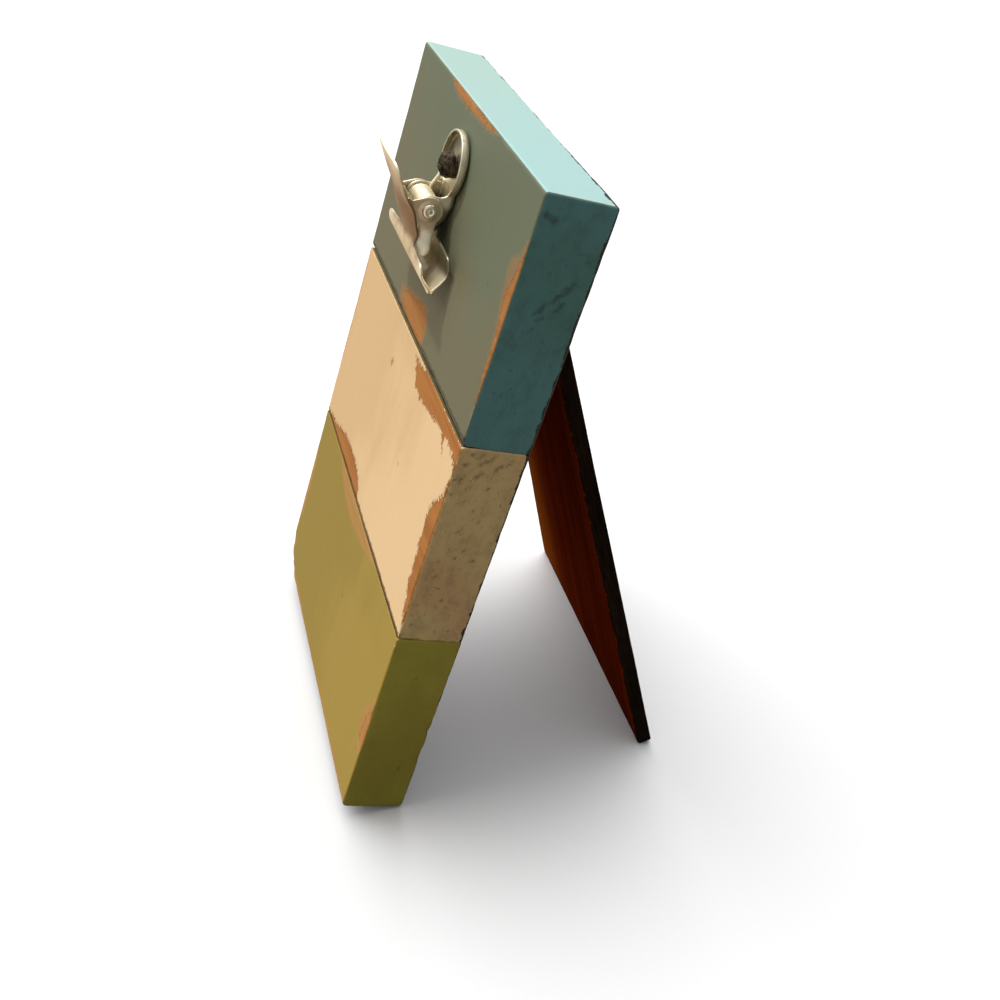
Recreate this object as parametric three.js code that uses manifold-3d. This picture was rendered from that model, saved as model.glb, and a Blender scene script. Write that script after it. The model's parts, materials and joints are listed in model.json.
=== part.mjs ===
// A desk clip frame: three painted blocks dowelled into one board, a bent-sheet spring clip on the top block
// and an easel leg on a butt hinge behind. Millimetres. The board is drawn upright in its own frame, with X to
// the viewer's right, Y from the front face to the back and Z up the board, and is then leant onto its leg.
import * as THREE from "three";
import { mergeVertices } from "three/addons/utils/BufferGeometryUtils.js";
import Module from "manifold-3d";

// Board
const BOARD_WIDTH = 170;
const BOARD_THICKNESS = 26;
const BLOCK_HEIGHTS = [89.3, 85, 91.7];
const SEAM = 0.3;
const SIDE_EASING = 0.8;
const SEAM_ROUNDING = 2.4;
const OUTER_ROUNDING = 1.2;

// Dowels across the two seams
const DOWEL_RADIUS = 4;
const DOWEL_LENGTH = 40;
const DOWEL_CHAMFER = 1;
const DOWEL_OFFSET = 45;
const GLUE_GAP = 0.3;

// Clip, placed by its pivot and by the centre of its round handle; "front" is the distance out of the board
const SHEET = 0.9;
const STANDOFF = 0.3;
const PIVOT_Z = 227.2;
const PIVOT_FRONT = 9.2;
const HANDLE_Z = 243;
const HANDLE_RADIUS = 12.6;
const RIM_HEIGHT = 3.5;
const NECK_TOP_DROP = 5;
const EAR_TOP_DROP = 8.8;
const TAB_TIP_Z = 243.2;
const TAB_TIP_FRONT = 27.6;
const TAB_SLOPE_DEGREES = 29.9;
const TAB_HALF_WIDTH = 16;
const TAB_FOOT_HALF_WIDTH = 11.5;
const TAB_CORNER = 4;
const JAW_HALF_WIDTH = 28.5;
const JAW_CORNER = 3;
const JAW_END_DROP = 1;
const SHOULDER_FILLET = 2;
const BACK_SHOULDER_Z = 218.5;
const FRONT_SHOULDER_Z = 214.2;
const LIP_Z = 203.6;
const LIP_FRONT = 6.6;
const LIP_GAP = 0.4;
const EAR_RADIUS = 5;
const EAR_SPAN = 18;
const EAR_FOOT_DOWN = 32;
const BACK_EAR_HALF_WIDTH = 8.4;
const FRONT_EAR_HALF_WIDTH = 9.9;
const BEND_RADIUS = 1.7;
const TONGUE_RADIUS = 4.5;
const TONGUE_AXIS_FRONT = 6;
const TONGUE_HALF_WIDTH = 2.4;
const TONGUE_TOP_Z = 221;
const TONGUE_END_Z = 210.9;
const PIN_RADIUS = 1.6;
const PIN_CLEARANCE = 0.2;
const PIN_HEAD_RADIUS = 2.7;
const PIN_HEAD_THICKNESS = 0.9;
const PIN_BORE_RADIUS = 0.9;
const PIN_BORE_DEPTH = 2.5;

// Torsion spring on the pin
const WIRE = 1.1;
const COIL_RADIUS = 4.1;
const COIL_HALF_LENGTH = 6.7;
const COIL_FULL_TURNS = 8;
const STEPS_PER_CURL = 8;
const WIRE_SIDES = 5;
const WIRE_SEAT = 0.3;
const BACK_ARM_REACH = 13.5;
const BACK_ARM_BEND_DEGREES = 12;
const FRONT_ARM_REACH = 11;
const ARM_STEPS = 4;

// Clip screw
const SCREW_HEAD_RADIUS = 5.6;
const SCREW_HEAD_WALL = 3;
const SCREW_HEAD_CROWN = 2.6;
const SCREW_CROWN_STEPS = 5;
const SCREW_SHANK_RADIUS = 2;
const SCREW_LENGTH = 16;
const SCREW_CLEARANCE = 0.3;

// Easel leg: the plane of its inner face meets the plane of the board's back at LEG_MEETS_Z
const LEG_OPEN_DEGREES = 28.7;
const LEG_MEETS_Z = 221.5;
const LEG_REACH = 220.5;
const LEG_THICKNESS = 6.4;
const LEG_TOP_WIDTH = 83.5;
const LEG_FOOT_WIDTH = 145.3;
const LEG_PAST_HINGE = 11;
const LEG_EASING = 0.6;
const LEG_STOP_GAP = 0.3;

// Butt hinge, folded between the leg and the back
const HINGE_LENGTH = 50;
const LEAF_WIDTH = 18;
const LEAF_THICKNESS = 1;
const BARREL_RADIUS = 2;
const HINGE_PIN_RADIUS = 1;
const HINGE_PIN_HEAD_RADIUS = 1.6;
const HINGE_PIN_HEAD_THICKNESS = 0.8;
const KNUCKLES = 5;
const HINGE_CLEARANCE = 0.2;
const HINGE_SEAT = 0.3;
const HINGE_SCREW_OFFSET = 15;
const HINGE_SCREW_DROP = 11;
const HINGE_SCREW_HEAD_RADIUS = 2.5;
const HINGE_SCREW_RADIUS = 1.3;
const HINGE_SCREW_CONE = 1.2;
const HINGE_SCREW_POINT = 1.5;
const BOARD_SCREW_LENGTH = 14;
const LEG_SCREW_LENGTH = 5.5;

const ROUND_SIDES = 28;

// Worked out from the above
const boardHeight = BLOCK_HEIGHTS.reduce((sum, height) => sum + height, 0);
const seams = [BLOCK_HEIGHTS[0], BLOCK_HEIGHTS[0] + BLOCK_HEIGHTS[1]];
const handleFloor = STANDOFF + SHEET;
const tabSlope = THREE.MathUtils.degToRad(TAB_SLOPE_DEGREES);
const legOpen = THREE.MathUtils.degToRad(LEG_OPEN_DEGREES);
const hingeOffset = BARREL_RADIUS + HINGE_SEAT;
const hingeY = BOARD_THICKNESS + hingeOffset;
const meetAboveHinge = (hingeOffset * (1 + Math.cos(legOpen))) / Math.sin(legOpen);
const hingeZ = LEG_MEETS_Z - meetAboveHinge * Math.cos(legOpen) - hingeOffset * Math.sin(legOpen);
const legBelowHinge = LEG_REACH - meetAboveHinge;

const matte = (color) => new THREE.MeshStandardMaterial({ color, roughness: 0.6, metalness: 0 });
const metal = (color, roughness) => new THREE.MeshStandardMaterial({ color, roughness, metalness: 1 });
const SAGE_PAINT = matte(0x76755f);
const CREAM_PAINT = matte(0xe8c696);
const OLIVE_PAINT = matte(0xa8924c);
const DARK_WOOD = matte(0x4a2412);
const BARE_WOOD = matte(0xc79a63);
const NICKEL = metal(0xc8beaa, 0.35);
const SPRING_STEEL = metal(0xd6cfbf, 0.3);
const DARK_IRON = metal(0x3c302a, 0.7);
const BRASS = metal(0xb08d4f, 0.4);

const wasm = await Module();
wasm.setup();

// A closed geometry as a solid that can be joined and cut.
function solid(geometry) {
  const bare = geometry.clone();
  bare.deleteAttribute("normal");
  bare.deleteAttribute("uv");
  const merged = mergeVertices(bare, 1e-4);
  const index = merged.index.array;
  const kept = [];
  for (let i = 0; i < index.length; i += 3) {
    const [a, b, c] = index.slice(i, i + 3);
    if (a !== b && b !== c && c !== a) kept.push(a, b, c);
  }
  const vertProperties = merged.attributes.position.array;
  const triVerts = new Uint32Array(kept);
  return new wasm.Manifold(new wasm.Mesh({ numProp: 3, vertProperties, triVerts }));
}

const joined = (solids) => solids.reduce((a, b) => a.add(b));

function part(name, made, material) {
  const { vertProperties, triVerts } = made.getMesh();
  const geometry = new THREE.BufferGeometry();
  geometry.setAttribute("position", new THREE.BufferAttribute(vertProperties, 3));
  geometry.setIndex(new THREE.BufferAttribute(triVerts, 1));
  geometry.computeVertexNormals();
  const mesh = new THREE.Mesh(geometry, material);
  mesh.name = name;
  return mesh;
}

function extruded(shape, depth, bevel) {
  return new THREE.ExtrudeGeometry(shape, {
    depth: depth - 2 * bevel,
    bevelEnabled: bevel > 0,
    bevelThickness: bevel,
    bevelSize: bevel,
    bevelOffset: -bevel,
    bevelSegments: 2,
    curveSegments: 6,
  }).translate(0, 0, bevel);
}

// A side profile drawn in (y, z), extruded along X between two places.
function alongBoard(shape, x0, x1, bevel = 0) {
  const swap = new THREE.Matrix4().set(0, 0, 1, x0, 1, 0, 0, 0, 0, 1, 0, 0, 0, 0, 0, 1);
  return extruded(shape, x1 - x0, bevel).applyMatrix4(swap);
}

// A front outline drawn in (x, z), extruded along Y between two depths.
function throughBoard(shape, y0, y1, bevel = 0) {
  return extruded(shape, y1 - y0, bevel).rotateX(Math.PI / 2).translate(0, y1, 0);
}

// A piece turned about Y from a closed (radius, y) profile, or from one that starts and ends on the axis.
function turned(points) {
  const profile = points.map(([radius, y]) => new THREE.Vector2(radius, y));
  if (THREE.ShapeUtils.isClockWise(profile)) profile.reverse();
  const first = profile[0];
  if (first.x > 0) profile.push(first.clone());
  return new THREE.LatheGeometry(profile, ROUND_SIDES);
}

const turnToX = (geometry) => geometry.rotateZ(-Math.PI / 2);
const turnToZ = (geometry) => geometry.rotateX(Math.PI / 2);
const turnAround = (geometry) => geometry.rotateX(Math.PI);

function rod(radius, length) {
  return new THREE.CylinderGeometry(radius, radius, length, ROUND_SIDES);
}

function box(x0, x1, y0, y1, z0, z1) {
  const geometry = new THREE.BoxGeometry(x1 - x0, y1 - y0, z1 - z0);
  return geometry.translate((x0 + x1) / 2, (y0 + y1) / 2, (z0 + z1) / 2);
}

// An outline that is alike on both sides of x = 0, from its right half drawn upwards.
function mirrored(half) {
  const right = half.getPoints(6);
  const left = right.map((p) => new THREE.Vector2(-p.x, p.y)).reverse();
  return new THREE.Shape([...right, ...left]);
}

// Blocks and dowels

function blockProfile(z0, z1, lowRounding, highRounding) {
  const backY = BOARD_THICKNESS - OUTER_ROUNDING;
  const shape = new THREE.Shape();
  shape.absarc(lowRounding, z0 + lowRounding, lowRounding, Math.PI, 1.5 * Math.PI);
  shape.absarc(backY, z0 + OUTER_ROUNDING, OUTER_ROUNDING, 1.5 * Math.PI, 2 * Math.PI);
  shape.absarc(backY, z1 - OUTER_ROUNDING, OUTER_ROUNDING, 0, 0.5 * Math.PI);
  shape.absarc(highRounding, z1 - highRounding, highRounding, 0.5 * Math.PI, Math.PI);
  return shape;
}

function dowelHole(x, z) {
  const hole = turnToZ(rod(DOWEL_RADIUS + GLUE_GAP, DOWEL_LENGTH + 2 * DOWEL_CHAMFER));
  return solid(hole.translate(x, BOARD_THICKNESS / 2, z));
}

function dowel(name, x, z) {
  const half = DOWEL_LENGTH / 2;
  const tip = DOWEL_RADIUS - DOWEL_CHAMFER;
  const profile = [
    [0, -half],
    [tip, -half],
    [DOWEL_RADIUS, DOWEL_CHAMFER - half],
    [DOWEL_RADIUS, half - DOWEL_CHAMFER],
    [tip, half],
    [0, half],
  ];
  const geometry = turnToZ(turned(profile)).translate(x, BOARD_THICKNESS / 2, z);
  return part(name, solid(geometry), BARE_WOOD);
}

function block(name, z0, z1, rounding, material, cuts) {
  const profile = blockProfile(z0, z1, rounding.low, rounding.high);
  const half = BOARD_WIDTH / 2;
  const whole = solid(alongBoard(profile, -half, half, SIDE_EASING));
  return part(name, whole.subtract(joined(cuts)), material);
}

function blocksAndDowels() {
  const [lowSeam, highSeam] = seams;
  const half = SEAM / 2;
  const holes = (z) => [dowelHole(-DOWEL_OFFSET, z), dowelHole(DOWEL_OFFSET, z)];
  const foot = { low: OUTER_ROUNDING, high: SEAM_ROUNDING };
  const between = { low: SEAM_ROUNDING, high: SEAM_ROUNDING };
  const head = { low: SEAM_ROUNDING, high: OUTER_ROUNDING };
  const middleCuts = [...holes(lowSeam), ...holes(highSeam)];
  const topCuts = [...holes(highSeam), clipScrewPilot(), ...hingeBoardPilots()];
  return [
    block("bottom_block", 0, lowSeam - half, foot, OLIVE_PAINT, holes(lowSeam)),
    block("middle_block", lowSeam + half, highSeam - half, between, CREAM_PAINT, middleCuts),
    block("top_block", highSeam + half, boardHeight, head, SAGE_PAINT, topCuts),
    dowel("dowel_low_left", -DOWEL_OFFSET, lowSeam),
    dowel("dowel_low_right", DOWEL_OFFSET, lowSeam),
    dowel("dowel_high_left", -DOWEL_OFFSET, highSeam),
    dowel("dowel_high_right", DOWEL_OFFSET, highSeam),
  ];
}

// Clip: side profiles are given as (front, z) points

const sidePoints = (points) => points.map(([front, z]) => new THREE.Vector2(-front, z));
const sideShape = (points) => new THREE.Shape(sidePoints(points));

// The closed outline of a sheet of even thickness along a smooth centreline.
function sheetOutline(points, stepsPerPoint) {
  const line = new THREE.SplineCurve(points);
  const steps = stepsPerPoint * points.length;
  const near = [];
  const far = [];
  for (let i = 0; i <= steps; i++) {
    const at = line.getPoint(i / steps);
    const along = line.getTangent(i / steps);
    const across = new THREE.Vector2(-along.y, along.x).multiplyScalar(SHEET / 2);
    near.push(at.clone().add(across));
    far.unshift(at.clone().sub(across));
  }
  return [...near, ...far];
}

const sheetProfile = (points) => new THREE.Shape(sheetOutline(sidePoints(points), 3));

// The right half of a plate's plan from the jaw's lip up to its neck.
function jawPlan(neckHalf, shoulderZ) {
  const fillet = SHOULDER_FILLET;
  const endZ = shoulderZ - JAW_END_DROP;
  const half = new THREE.Path();
  half.moveTo(JAW_HALF_WIDTH, LIP_Z - SHEET);
  half.lineTo(JAW_HALF_WIDTH, endZ - JAW_CORNER);
  half.quadraticCurveTo(JAW_HALF_WIDTH, endZ, JAW_HALF_WIDTH - JAW_CORNER, endZ);
  half.lineTo(neckHalf + fillet, shoulderZ);
  half.quadraticCurveTo(neckHalf, shoulderZ, neckHalf, shoulderZ + fillet);
  return half;
}

// A sheet bent up along both edges: a U section drawn in (x, y), its web on y = 0, extruded up Z.
function channel(halfWidth, flangeHeight, length) {
  const inner = BEND_RADIUS - SHEET;
  const centreX = halfWidth - BEND_RADIUS;
  const shape = new THREE.Shape();
  shape.moveTo(-halfWidth, flangeHeight);
  shape.absarc(-centreX, BEND_RADIUS, BEND_RADIUS, Math.PI, 1.5 * Math.PI);
  shape.absarc(centreX, BEND_RADIUS, BEND_RADIUS, 1.5 * Math.PI, 2 * Math.PI);
  shape.lineTo(halfWidth, flangeHeight);
  shape.lineTo(halfWidth - SHEET, flangeHeight);
  shape.absarc(centreX, BEND_RADIUS, inner, 2 * Math.PI, 1.5 * Math.PI, true);
  shape.absarc(-centreX, BEND_RADIUS, inner, 1.5 * Math.PI, Math.PI, true);
  shape.lineTo(SHEET - halfWidth, flangeHeight);
  return extruded(shape, length, 0);
}

function pinHole() {
  const hole = turnToX(rod(PIN_RADIUS + PIN_CLEARANCE, 2 * JAW_HALF_WIDTH));
  return solid(hole.translate(0, -PIVOT_FRONT, PIVOT_Z));
}

function acrossClip(shape) {
  return solid(alongBoard(shape, -JAW_HALF_WIDTH, JAW_HALF_WIDTH));
}

function earBoss() {
  return acrossClip(new THREE.Shape().absarc(-PIVOT_FRONT, PIVOT_Z, EAR_RADIUS, 0, 2 * Math.PI));
}

function planCut(shape) {
  return solid(throughBoard(shape, -2 * TAB_TIP_FRONT, 0));
}

// The dished round handle with its turned-up rim, open where the neck joins it.
function dishedHandle() {
  const hole = SCREW_SHANK_RADIUS + SCREW_CLEARANCE;
  const flat = STANDOFF + SHEET / 2;
  const wall = HANDLE_RADIUS - SHEET / 2;
  const section = sidePoints([
    [flat, hole],
    [flat, wall - 1.2 * RIM_HEIGHT],
    [flat, wall - 0.5 * RIM_HEIGHT],
    [0.5 * RIM_HEIGHT, wall],
    [RIM_HEIGHT, wall - SHEET / 2],
  ]);
  const profile = sheetOutline(section, 2).map((p) => [p.y, p.x]);
  const dish = solid(turned(profile).translate(0, 0, HANDLE_Z));
  const neck = BACK_EAR_HALF_WIDTH - SHEET;
  const neckTop = HANDLE_Z - HANDLE_RADIUS / 2;
  return dish.subtract(solid(box(-neck, neck, -2 * RIM_HEIGHT, -handleFloor, LIP_Z, neckTop)));
}

function clipBackPlate() {
  const flat = STANDOFF + SHEET / 2;
  const lip = LIP_FRONT - LIP_GAP / 2 - SHEET / 2;
  const sheet = sheetProfile([
    [flat, HANDLE_Z - NECK_TOP_DROP],
    [flat, HANDLE_Z - 2 * NECK_TOP_DROP],
    [flat, 228.6],
    [2, 224.2],
    [4, 220.6],
    [3.1, 217],
    [2.1, 213.4],
    [2.7, 209.9],
    [4.4, 206.9],
    [lip - 0.15, 204.8],
    [lip, LIP_Z],
  ]);
  const plan = jawPlan(BACK_EAR_HALF_WIDTH, BACK_SHOULDER_Z);
  plan.lineTo(BACK_EAR_HALF_WIDTH, HANDLE_Z - NECK_TOP_DROP);
  const plate = acrossClip(sheet).intersect(planCut(mirrored(plan)));

  const earTop = HANDLE_Z - EAR_TOP_DROP;
  const flangeHeight = PIVOT_FRONT + 2 * EAR_RADIUS;
  const bent = turnAround(channel(BACK_EAR_HALF_WIDTH, flangeHeight, earTop - BACK_SHOULDER_Z));
  const ears = solid(bent.translate(0, -STANDOFF, earTop));
  const earWeb = acrossClip(
    sideShape([
      [STANDOFF, earTop],
      [RIM_HEIGHT, earTop],
      [4, 232.8],
      [5.6, 232],
      [PIVOT_FRONT, PIVOT_Z + EAR_RADIUS],
      [PIVOT_FRONT, PIVOT_Z - EAR_RADIUS],
      [5.4, 221.4],
      [3.7, 220.4],
      [1.6, 224],
      [STANDOFF, 228.4],
    ]),
  );
  const bentEars = ears.intersect(earBoss().add(earWeb));
  const made = joined([plate, bentEars, dishedHandle()]);
  return part("clip_back_plate", made.subtract(pinHole()), NICKEL);
}

// The front plate leans out along the thumb tab: a place on its centreline, down from the tip.
function onTab(down) {
  return [TAB_TIP_FRONT - down * Math.sin(tabSlope), TAB_TIP_Z - down * Math.cos(tabSlope)];
}

// The tongue that hangs from a front ear: sheet rolled a quarter round, with a rounded lower end.
function tongue(side) {
  const axisX = side * (FRONT_EAR_HALF_WIDTH - TONGUE_RADIUS);
  const [from, to] = side < 0 ? [Math.PI, 1.5 * Math.PI] : [1.5 * Math.PI, 2 * Math.PI];
  const section = new THREE.Shape();
  section.absarc(axisX, -TONGUE_AXIS_FRONT, TONGUE_RADIUS, from, to);
  section.absarc(axisX, -TONGUE_AXIS_FRONT, TONGUE_RADIUS - SHEET, to, from, true);
  const rolled = extruded(section, TONGUE_TOP_Z - TONGUE_END_Z, 0).translate(0, 0, TONGUE_END_Z);
  const middleFront = TONGUE_AXIS_FRONT + TONGUE_HALF_WIDTH;
  const outline = new THREE.Shape();
  outline.moveTo(TONGUE_HALF_WIDTH - middleFront, TONGUE_TOP_Z);
  outline.lineTo(-TONGUE_HALF_WIDTH - middleFront, TONGUE_TOP_Z);
  const endZ = TONGUE_END_Z + TONGUE_HALF_WIDTH;
  outline.absarc(-middleFront, endZ, TONGUE_HALF_WIDTH, Math.PI, 2 * Math.PI);
  return solid(rolled).intersect(acrossClip(outline));
}

function clipFrontPlate() {
  const lip = LIP_FRONT + LIP_GAP / 2 + SHEET / 2;
  const sheet = sheetProfile([
    onTab(0),
    onTab(8),
    onTab(16),
    onTab(24),
    onTab(30.6),
    [12.3, 212.6],
    [11.4, 209],
    [9.2, 206.4],
    [lip + 0.15, 204.8],
    [lip, LIP_Z],
  ]);
  const tabTopZ = TAB_TIP_Z + SHEET;
  const tabFootZ = PIVOT_Z + EAR_RADIUS;
  const plan = jawPlan(TAB_FOOT_HALF_WIDTH, FRONT_SHOULDER_Z);
  plan.lineTo(TAB_HALF_WIDTH, tabFootZ);
  plan.lineTo(TAB_HALF_WIDTH, tabTopZ - TAB_CORNER);
  plan.quadraticCurveTo(TAB_HALF_WIDTH, tabTopZ, TAB_HALF_WIDTH - TAB_CORNER, tabTopZ);
  const plate = acrossClip(sheet).intersect(planCut(mirrored(plan)));

  const [earFootFront, earFootZ] = onTab(EAR_FOOT_DOWN);
  const strapTop = PIVOT_Z - EAR_RADIUS / 2;
  const outward = SHEET / 2;
  const bent = channel(FRONT_EAR_HALF_WIDTH, 4 * EAR_RADIUS, EAR_SPAN).rotateX(tabSlope);
  const seatY = -earFootFront - outward * Math.cos(tabSlope);
  const ears = solid(bent.translate(0, seatY, earFootZ - outward * Math.sin(tabSlope)));
  const earWeb = acrossClip(
    sideShape([
      onTab(16),
      [16.2, 229.7],
      [11.3, 231.9],
      [PIVOT_FRONT, PIVOT_Z + EAR_RADIUS],
      [PIVOT_FRONT, PIVOT_Z - EAR_RADIUS],
      onTab(28),
      [23, 226],
    ]),
  );
  const strap = acrossClip(
    sideShape([
      [7, strapTop],
      [10.2, strapTop],
      [10.2, TONGUE_TOP_Z - SHEET],
      [7, TONGUE_TOP_Z - SHEET],
    ]),
  );
  const bentEars = ears.intersect(joined([earBoss(), earWeb, strap]));
  const made = joined([plate, bentEars, tongue(-1), tongue(1)]);
  return part("clip_front_plate", made.subtract(pinHole()), NICKEL);
}

function clipPin() {
  const end = FRONT_EAR_HALF_WIDTH + PIN_CLEARANCE + PIN_HEAD_THICKNESS;
  const neck = end - PIN_HEAD_THICKNESS;
  const boreEnd = end - PIN_BORE_DEPTH;
  const half = [
    [PIN_RADIUS, neck],
    [PIN_HEAD_RADIUS, neck],
    [PIN_HEAD_RADIUS, neck + PIN_HEAD_THICKNESS / 2],
    [PIN_HEAD_RADIUS - PIN_HEAD_THICKNESS / 2, end],
    [PIN_BORE_RADIUS, end],
    [PIN_BORE_RADIUS, boreEnd],
    [0, boreEnd],
  ];
  const other = half.map(([radius, x]) => [radius, -x]).reverse();
  const geometry = turnToX(turned([...other, ...half]));
  return part("clip_pin", solid(geometry.translate(0, -PIVOT_FRONT, PIVOT_Z)), NICKEL);
}

function clipScrewPilot() {
  const depth = SCREW_LENGTH + SCREW_CLEARANCE;
  const pilot = rod(SCREW_SHANK_RADIUS + SCREW_CLEARANCE, depth + 2);
  return solid(pilot.translate(0, depth / 2 - 1, HANDLE_Z));
}

function clipScrew() {
  const seat = -(handleFloor + SCREW_CLEARANCE);
  const shoulder = seat - SCREW_HEAD_WALL;
  const profile = [];
  for (let i = 0; i <= SCREW_CROWN_STEPS; i++) {
    const angle = (i / SCREW_CROWN_STEPS) * 0.5 * Math.PI;
    profile.push([SCREW_HEAD_RADIUS * Math.sin(angle), shoulder - SCREW_HEAD_CROWN * Math.cos(angle)]);
  }
  profile.push([SCREW_HEAD_RADIUS, seat]);
  profile.push([SCREW_SHANK_RADIUS, seat]);
  profile.push([SCREW_SHANK_RADIUS, SCREW_LENGTH - 2 * SCREW_SHANK_RADIUS]);
  profile.push([0, SCREW_LENGTH]);
  return part("clip_screw", solid(turned(profile).translate(0, 0, HANDLE_Z)), DARK_IRON);
}

// Spring: (rise, front) about the pivot, wound so that pressing the tab tightens the coil; the back arm is
// bent outwards at the coil, the front arm leaves it straight

const tangentOpening = (rise, front) => Math.acos(COIL_RADIUS / Math.hypot(rise, front));

function armEnd(rise, front, opening) {
  return { rise, front, angle: Math.atan2(front, rise), opening };
}

function springPath() {
  const wireSeat = WIRE_SEAT + WIRE / 2;
  const backFront = handleFloor + wireSeat - PIVOT_FRONT;
  const back = armEnd(BACK_ARM_REACH, backFront, THREE.MathUtils.degToRad(BACK_ARM_BEND_DEGREES));
  const pivotDown = (TAB_TIP_FRONT - PIVOT_FRONT) * Math.sin(tabSlope)
    + (TAB_TIP_Z - PIVOT_Z) * Math.cos(tabSlope);
  const [footFront, footZ] = onTab(pivotDown - FRONT_ARM_REACH);
  const inward = SHEET / 2 + wireSeat;
  const frontRise = footZ + inward * Math.sin(tabSlope) - PIVOT_Z;
  const frontOut = footFront - inward * Math.cos(tabSlope) - PIVOT_FRONT;
  const front = armEnd(frontRise, frontOut, tangentOpening(frontRise, frontOut));
  const start = back.angle - back.opening;
  const finish = front.angle + front.opening;
  const partTurn = THREE.MathUtils.euclideanModulo(start - finish, 2 * Math.PI);
  const sweep = partTurn + 2 * Math.PI * COIL_FULL_TURNS;
  const steps = Math.round((sweep / (2 * Math.PI)) * STEPS_PER_CURL);
  const place = (x, rise, out) => new THREE.Vector3(x, -PIVOT_FRONT - out, PIVOT_Z + rise);
  const path = [];
  for (let i = 0; i <= steps; i++) {
    const angle = start - (sweep * i) / steps;
    const x = COIL_HALF_LENGTH * ((2 * i) / steps - 1);
    path.push(place(x, COIL_RADIUS * Math.cos(angle), COIL_RADIUS * Math.sin(angle)));
  }
  const backEnd = place(-COIL_HALF_LENGTH, back.rise, back.front);
  const frontEnd = place(COIL_HALF_LENGTH, front.rise, front.front);
  const coilStart = path[0].clone();
  const coilEnd = path[steps].clone();
  for (let i = 1; i <= ARM_STEPS; i++) {
    path.unshift(coilStart.clone().lerp(backEnd, i / ARM_STEPS));
    path.push(coilEnd.clone().lerp(frontEnd, i / ARM_STEPS));
  }
  return path;
}

// A closed tube of even sides along a path, its section carried along without twist.
function tube(path, radius, sides) {
  const positions = [];
  const index = [];
  const along = path.map((p, i) => {
    const before = path[Math.max(i - 1, 0)];
    const after = path[Math.min(i + 1, path.length - 1)];
    return after.clone().sub(before).normalize();
  });
  let side = new THREE.Vector3(1, 0, 0).cross(along[0]).normalize();
  path.forEach((p, i) => {
    side = side.clone().addScaledVector(along[i], -side.dot(along[i])).normalize();
    const up = along[i].clone().cross(side);
    for (let k = 0; k < sides; k++) {
      const turn = (2 * Math.PI * k) / sides;
      const at = p.clone().addScaledVector(side, radius * Math.cos(turn));
      positions.push(...at.addScaledVector(up, radius * Math.sin(turn)).toArray());
    }
  });
  for (let i = 0; i + 1 < path.length; i++) {
    for (let k = 0; k < sides; k++) {
      const [a, b] = [i * sides + k, i * sides + ((k + 1) % sides)];
      index.push(a, b, b + sides, a, b + sides, a + sides);
    }
  }
  const last = (path.length - 1) * sides;
  for (let k = 1; k + 1 < sides; k++) {
    index.push(0, k + 1, k);
    index.push(last, last + k, last + k + 1);
  }
  const geometry = new THREE.BufferGeometry();
  geometry.setAttribute("position", new THREE.Float32BufferAttribute(positions, 3));
  return geometry.setIndex(index);
}

// The least clear distance between stretches of a wire that are not next to each other.
function leastGap(path, wire) {
  const travelled = [0];
  for (let i = 1; i < path.length; i++) travelled.push(travelled[i - 1] + path[i].distanceTo(path[i - 1]));
  let least = Infinity;
  for (let i = 0; i < path.length; i++) {
    for (let j = i + 1; j < path.length; j++) {
      if (travelled[j] - travelled[i] < 4 * wire) continue;
      least = Math.min(least, path[i].distanceTo(path[j]) - wire);
    }
  }
  return least;
}

function clipSpring() {
  const path = springPath();
  console.log(`clip_spring: least gap to itself ${leastGap(path, WIRE).toFixed(2)} mm`);
  return part("clip_spring", solid(tube(path, WIRE / 2, WIRE_SIDES)), SPRING_STEEL);
}

// Hinge: drawn about its own axis, the leaves hanging down from it, side -1 towards the board and 1 the leg

function hingeScrewPlaces() {
  return [-HINGE_SCREW_OFFSET, HINGE_SCREW_OFFSET];
}

function hingeScrewShape(side, x, length, gap) {
  const profile = [
    [0, -gap],
    [HINGE_SCREW_HEAD_RADIUS + gap, -gap],
    [HINGE_SCREW_RADIUS + gap, HINGE_SCREW_CONE],
    [HINGE_SCREW_RADIUS + gap, length - HINGE_SCREW_POINT],
    [0, length + gap],
  ];
  const shape = turned(profile);
  if (side < 0) turnAround(shape);
  const seat = side * (BARREL_RADIUS - LEAF_THICKNESS);
  return solid(shape.translate(x, seat, -HINGE_SCREW_DROP));
}

function hingeBoardPilots() {
  return hingeScrewPlaces().map((x) => {
    const cut = hingeScrewShape(-1, x, BOARD_SCREW_LENGTH, HINGE_CLEARANCE);
    return cut.translate([0, hingeY, hingeZ]);
  });
}

function hingeLeaf(name, side, length, isOwnKnuckle) {
  const near = BARREL_RADIUS - LEAF_THICKNESS;
  const [y0, y1] = side < 0 ? [-BARREL_RADIUS, -near] : [near, BARREL_RADIUS];
  const half = HINGE_LENGTH / 2;
  const plateTop = -(BARREL_RADIUS + 2 * HINGE_CLEARANCE);
  const pieces = [solid(box(-half, half, y0, y1, -LEAF_WIDTH, plateTop))];
  const knuckle = HINGE_LENGTH / KNUCKLES;
  for (let i = 0; i < KNUCKLES; i++) {
    if (!isOwnKnuckle(i)) continue;
    const x0 = -half + i * knuckle + HINGE_CLEARANCE;
    const x1 = x0 + knuckle - 2 * HINGE_CLEARANCE;
    pieces.push(solid(box(x0, x1, y0, y1, plateTop - LEAF_THICKNESS, 0)));
    pieces.push(solid(turnToX(rod(BARREL_RADIUS, x1 - x0)).translate((x0 + x1) / 2, 0, 0)));
  }
  const bore = solid(turnToX(rod(HINGE_PIN_RADIUS + HINGE_CLEARANCE, 2 * HINGE_LENGTH)));
  const cuts = hingeScrewPlaces().map((x) => hingeScrewShape(side, x, length, HINGE_CLEARANCE));
  return part(name, joined(pieces).subtract(joined([bore, ...cuts])), BRASS);
}

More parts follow.
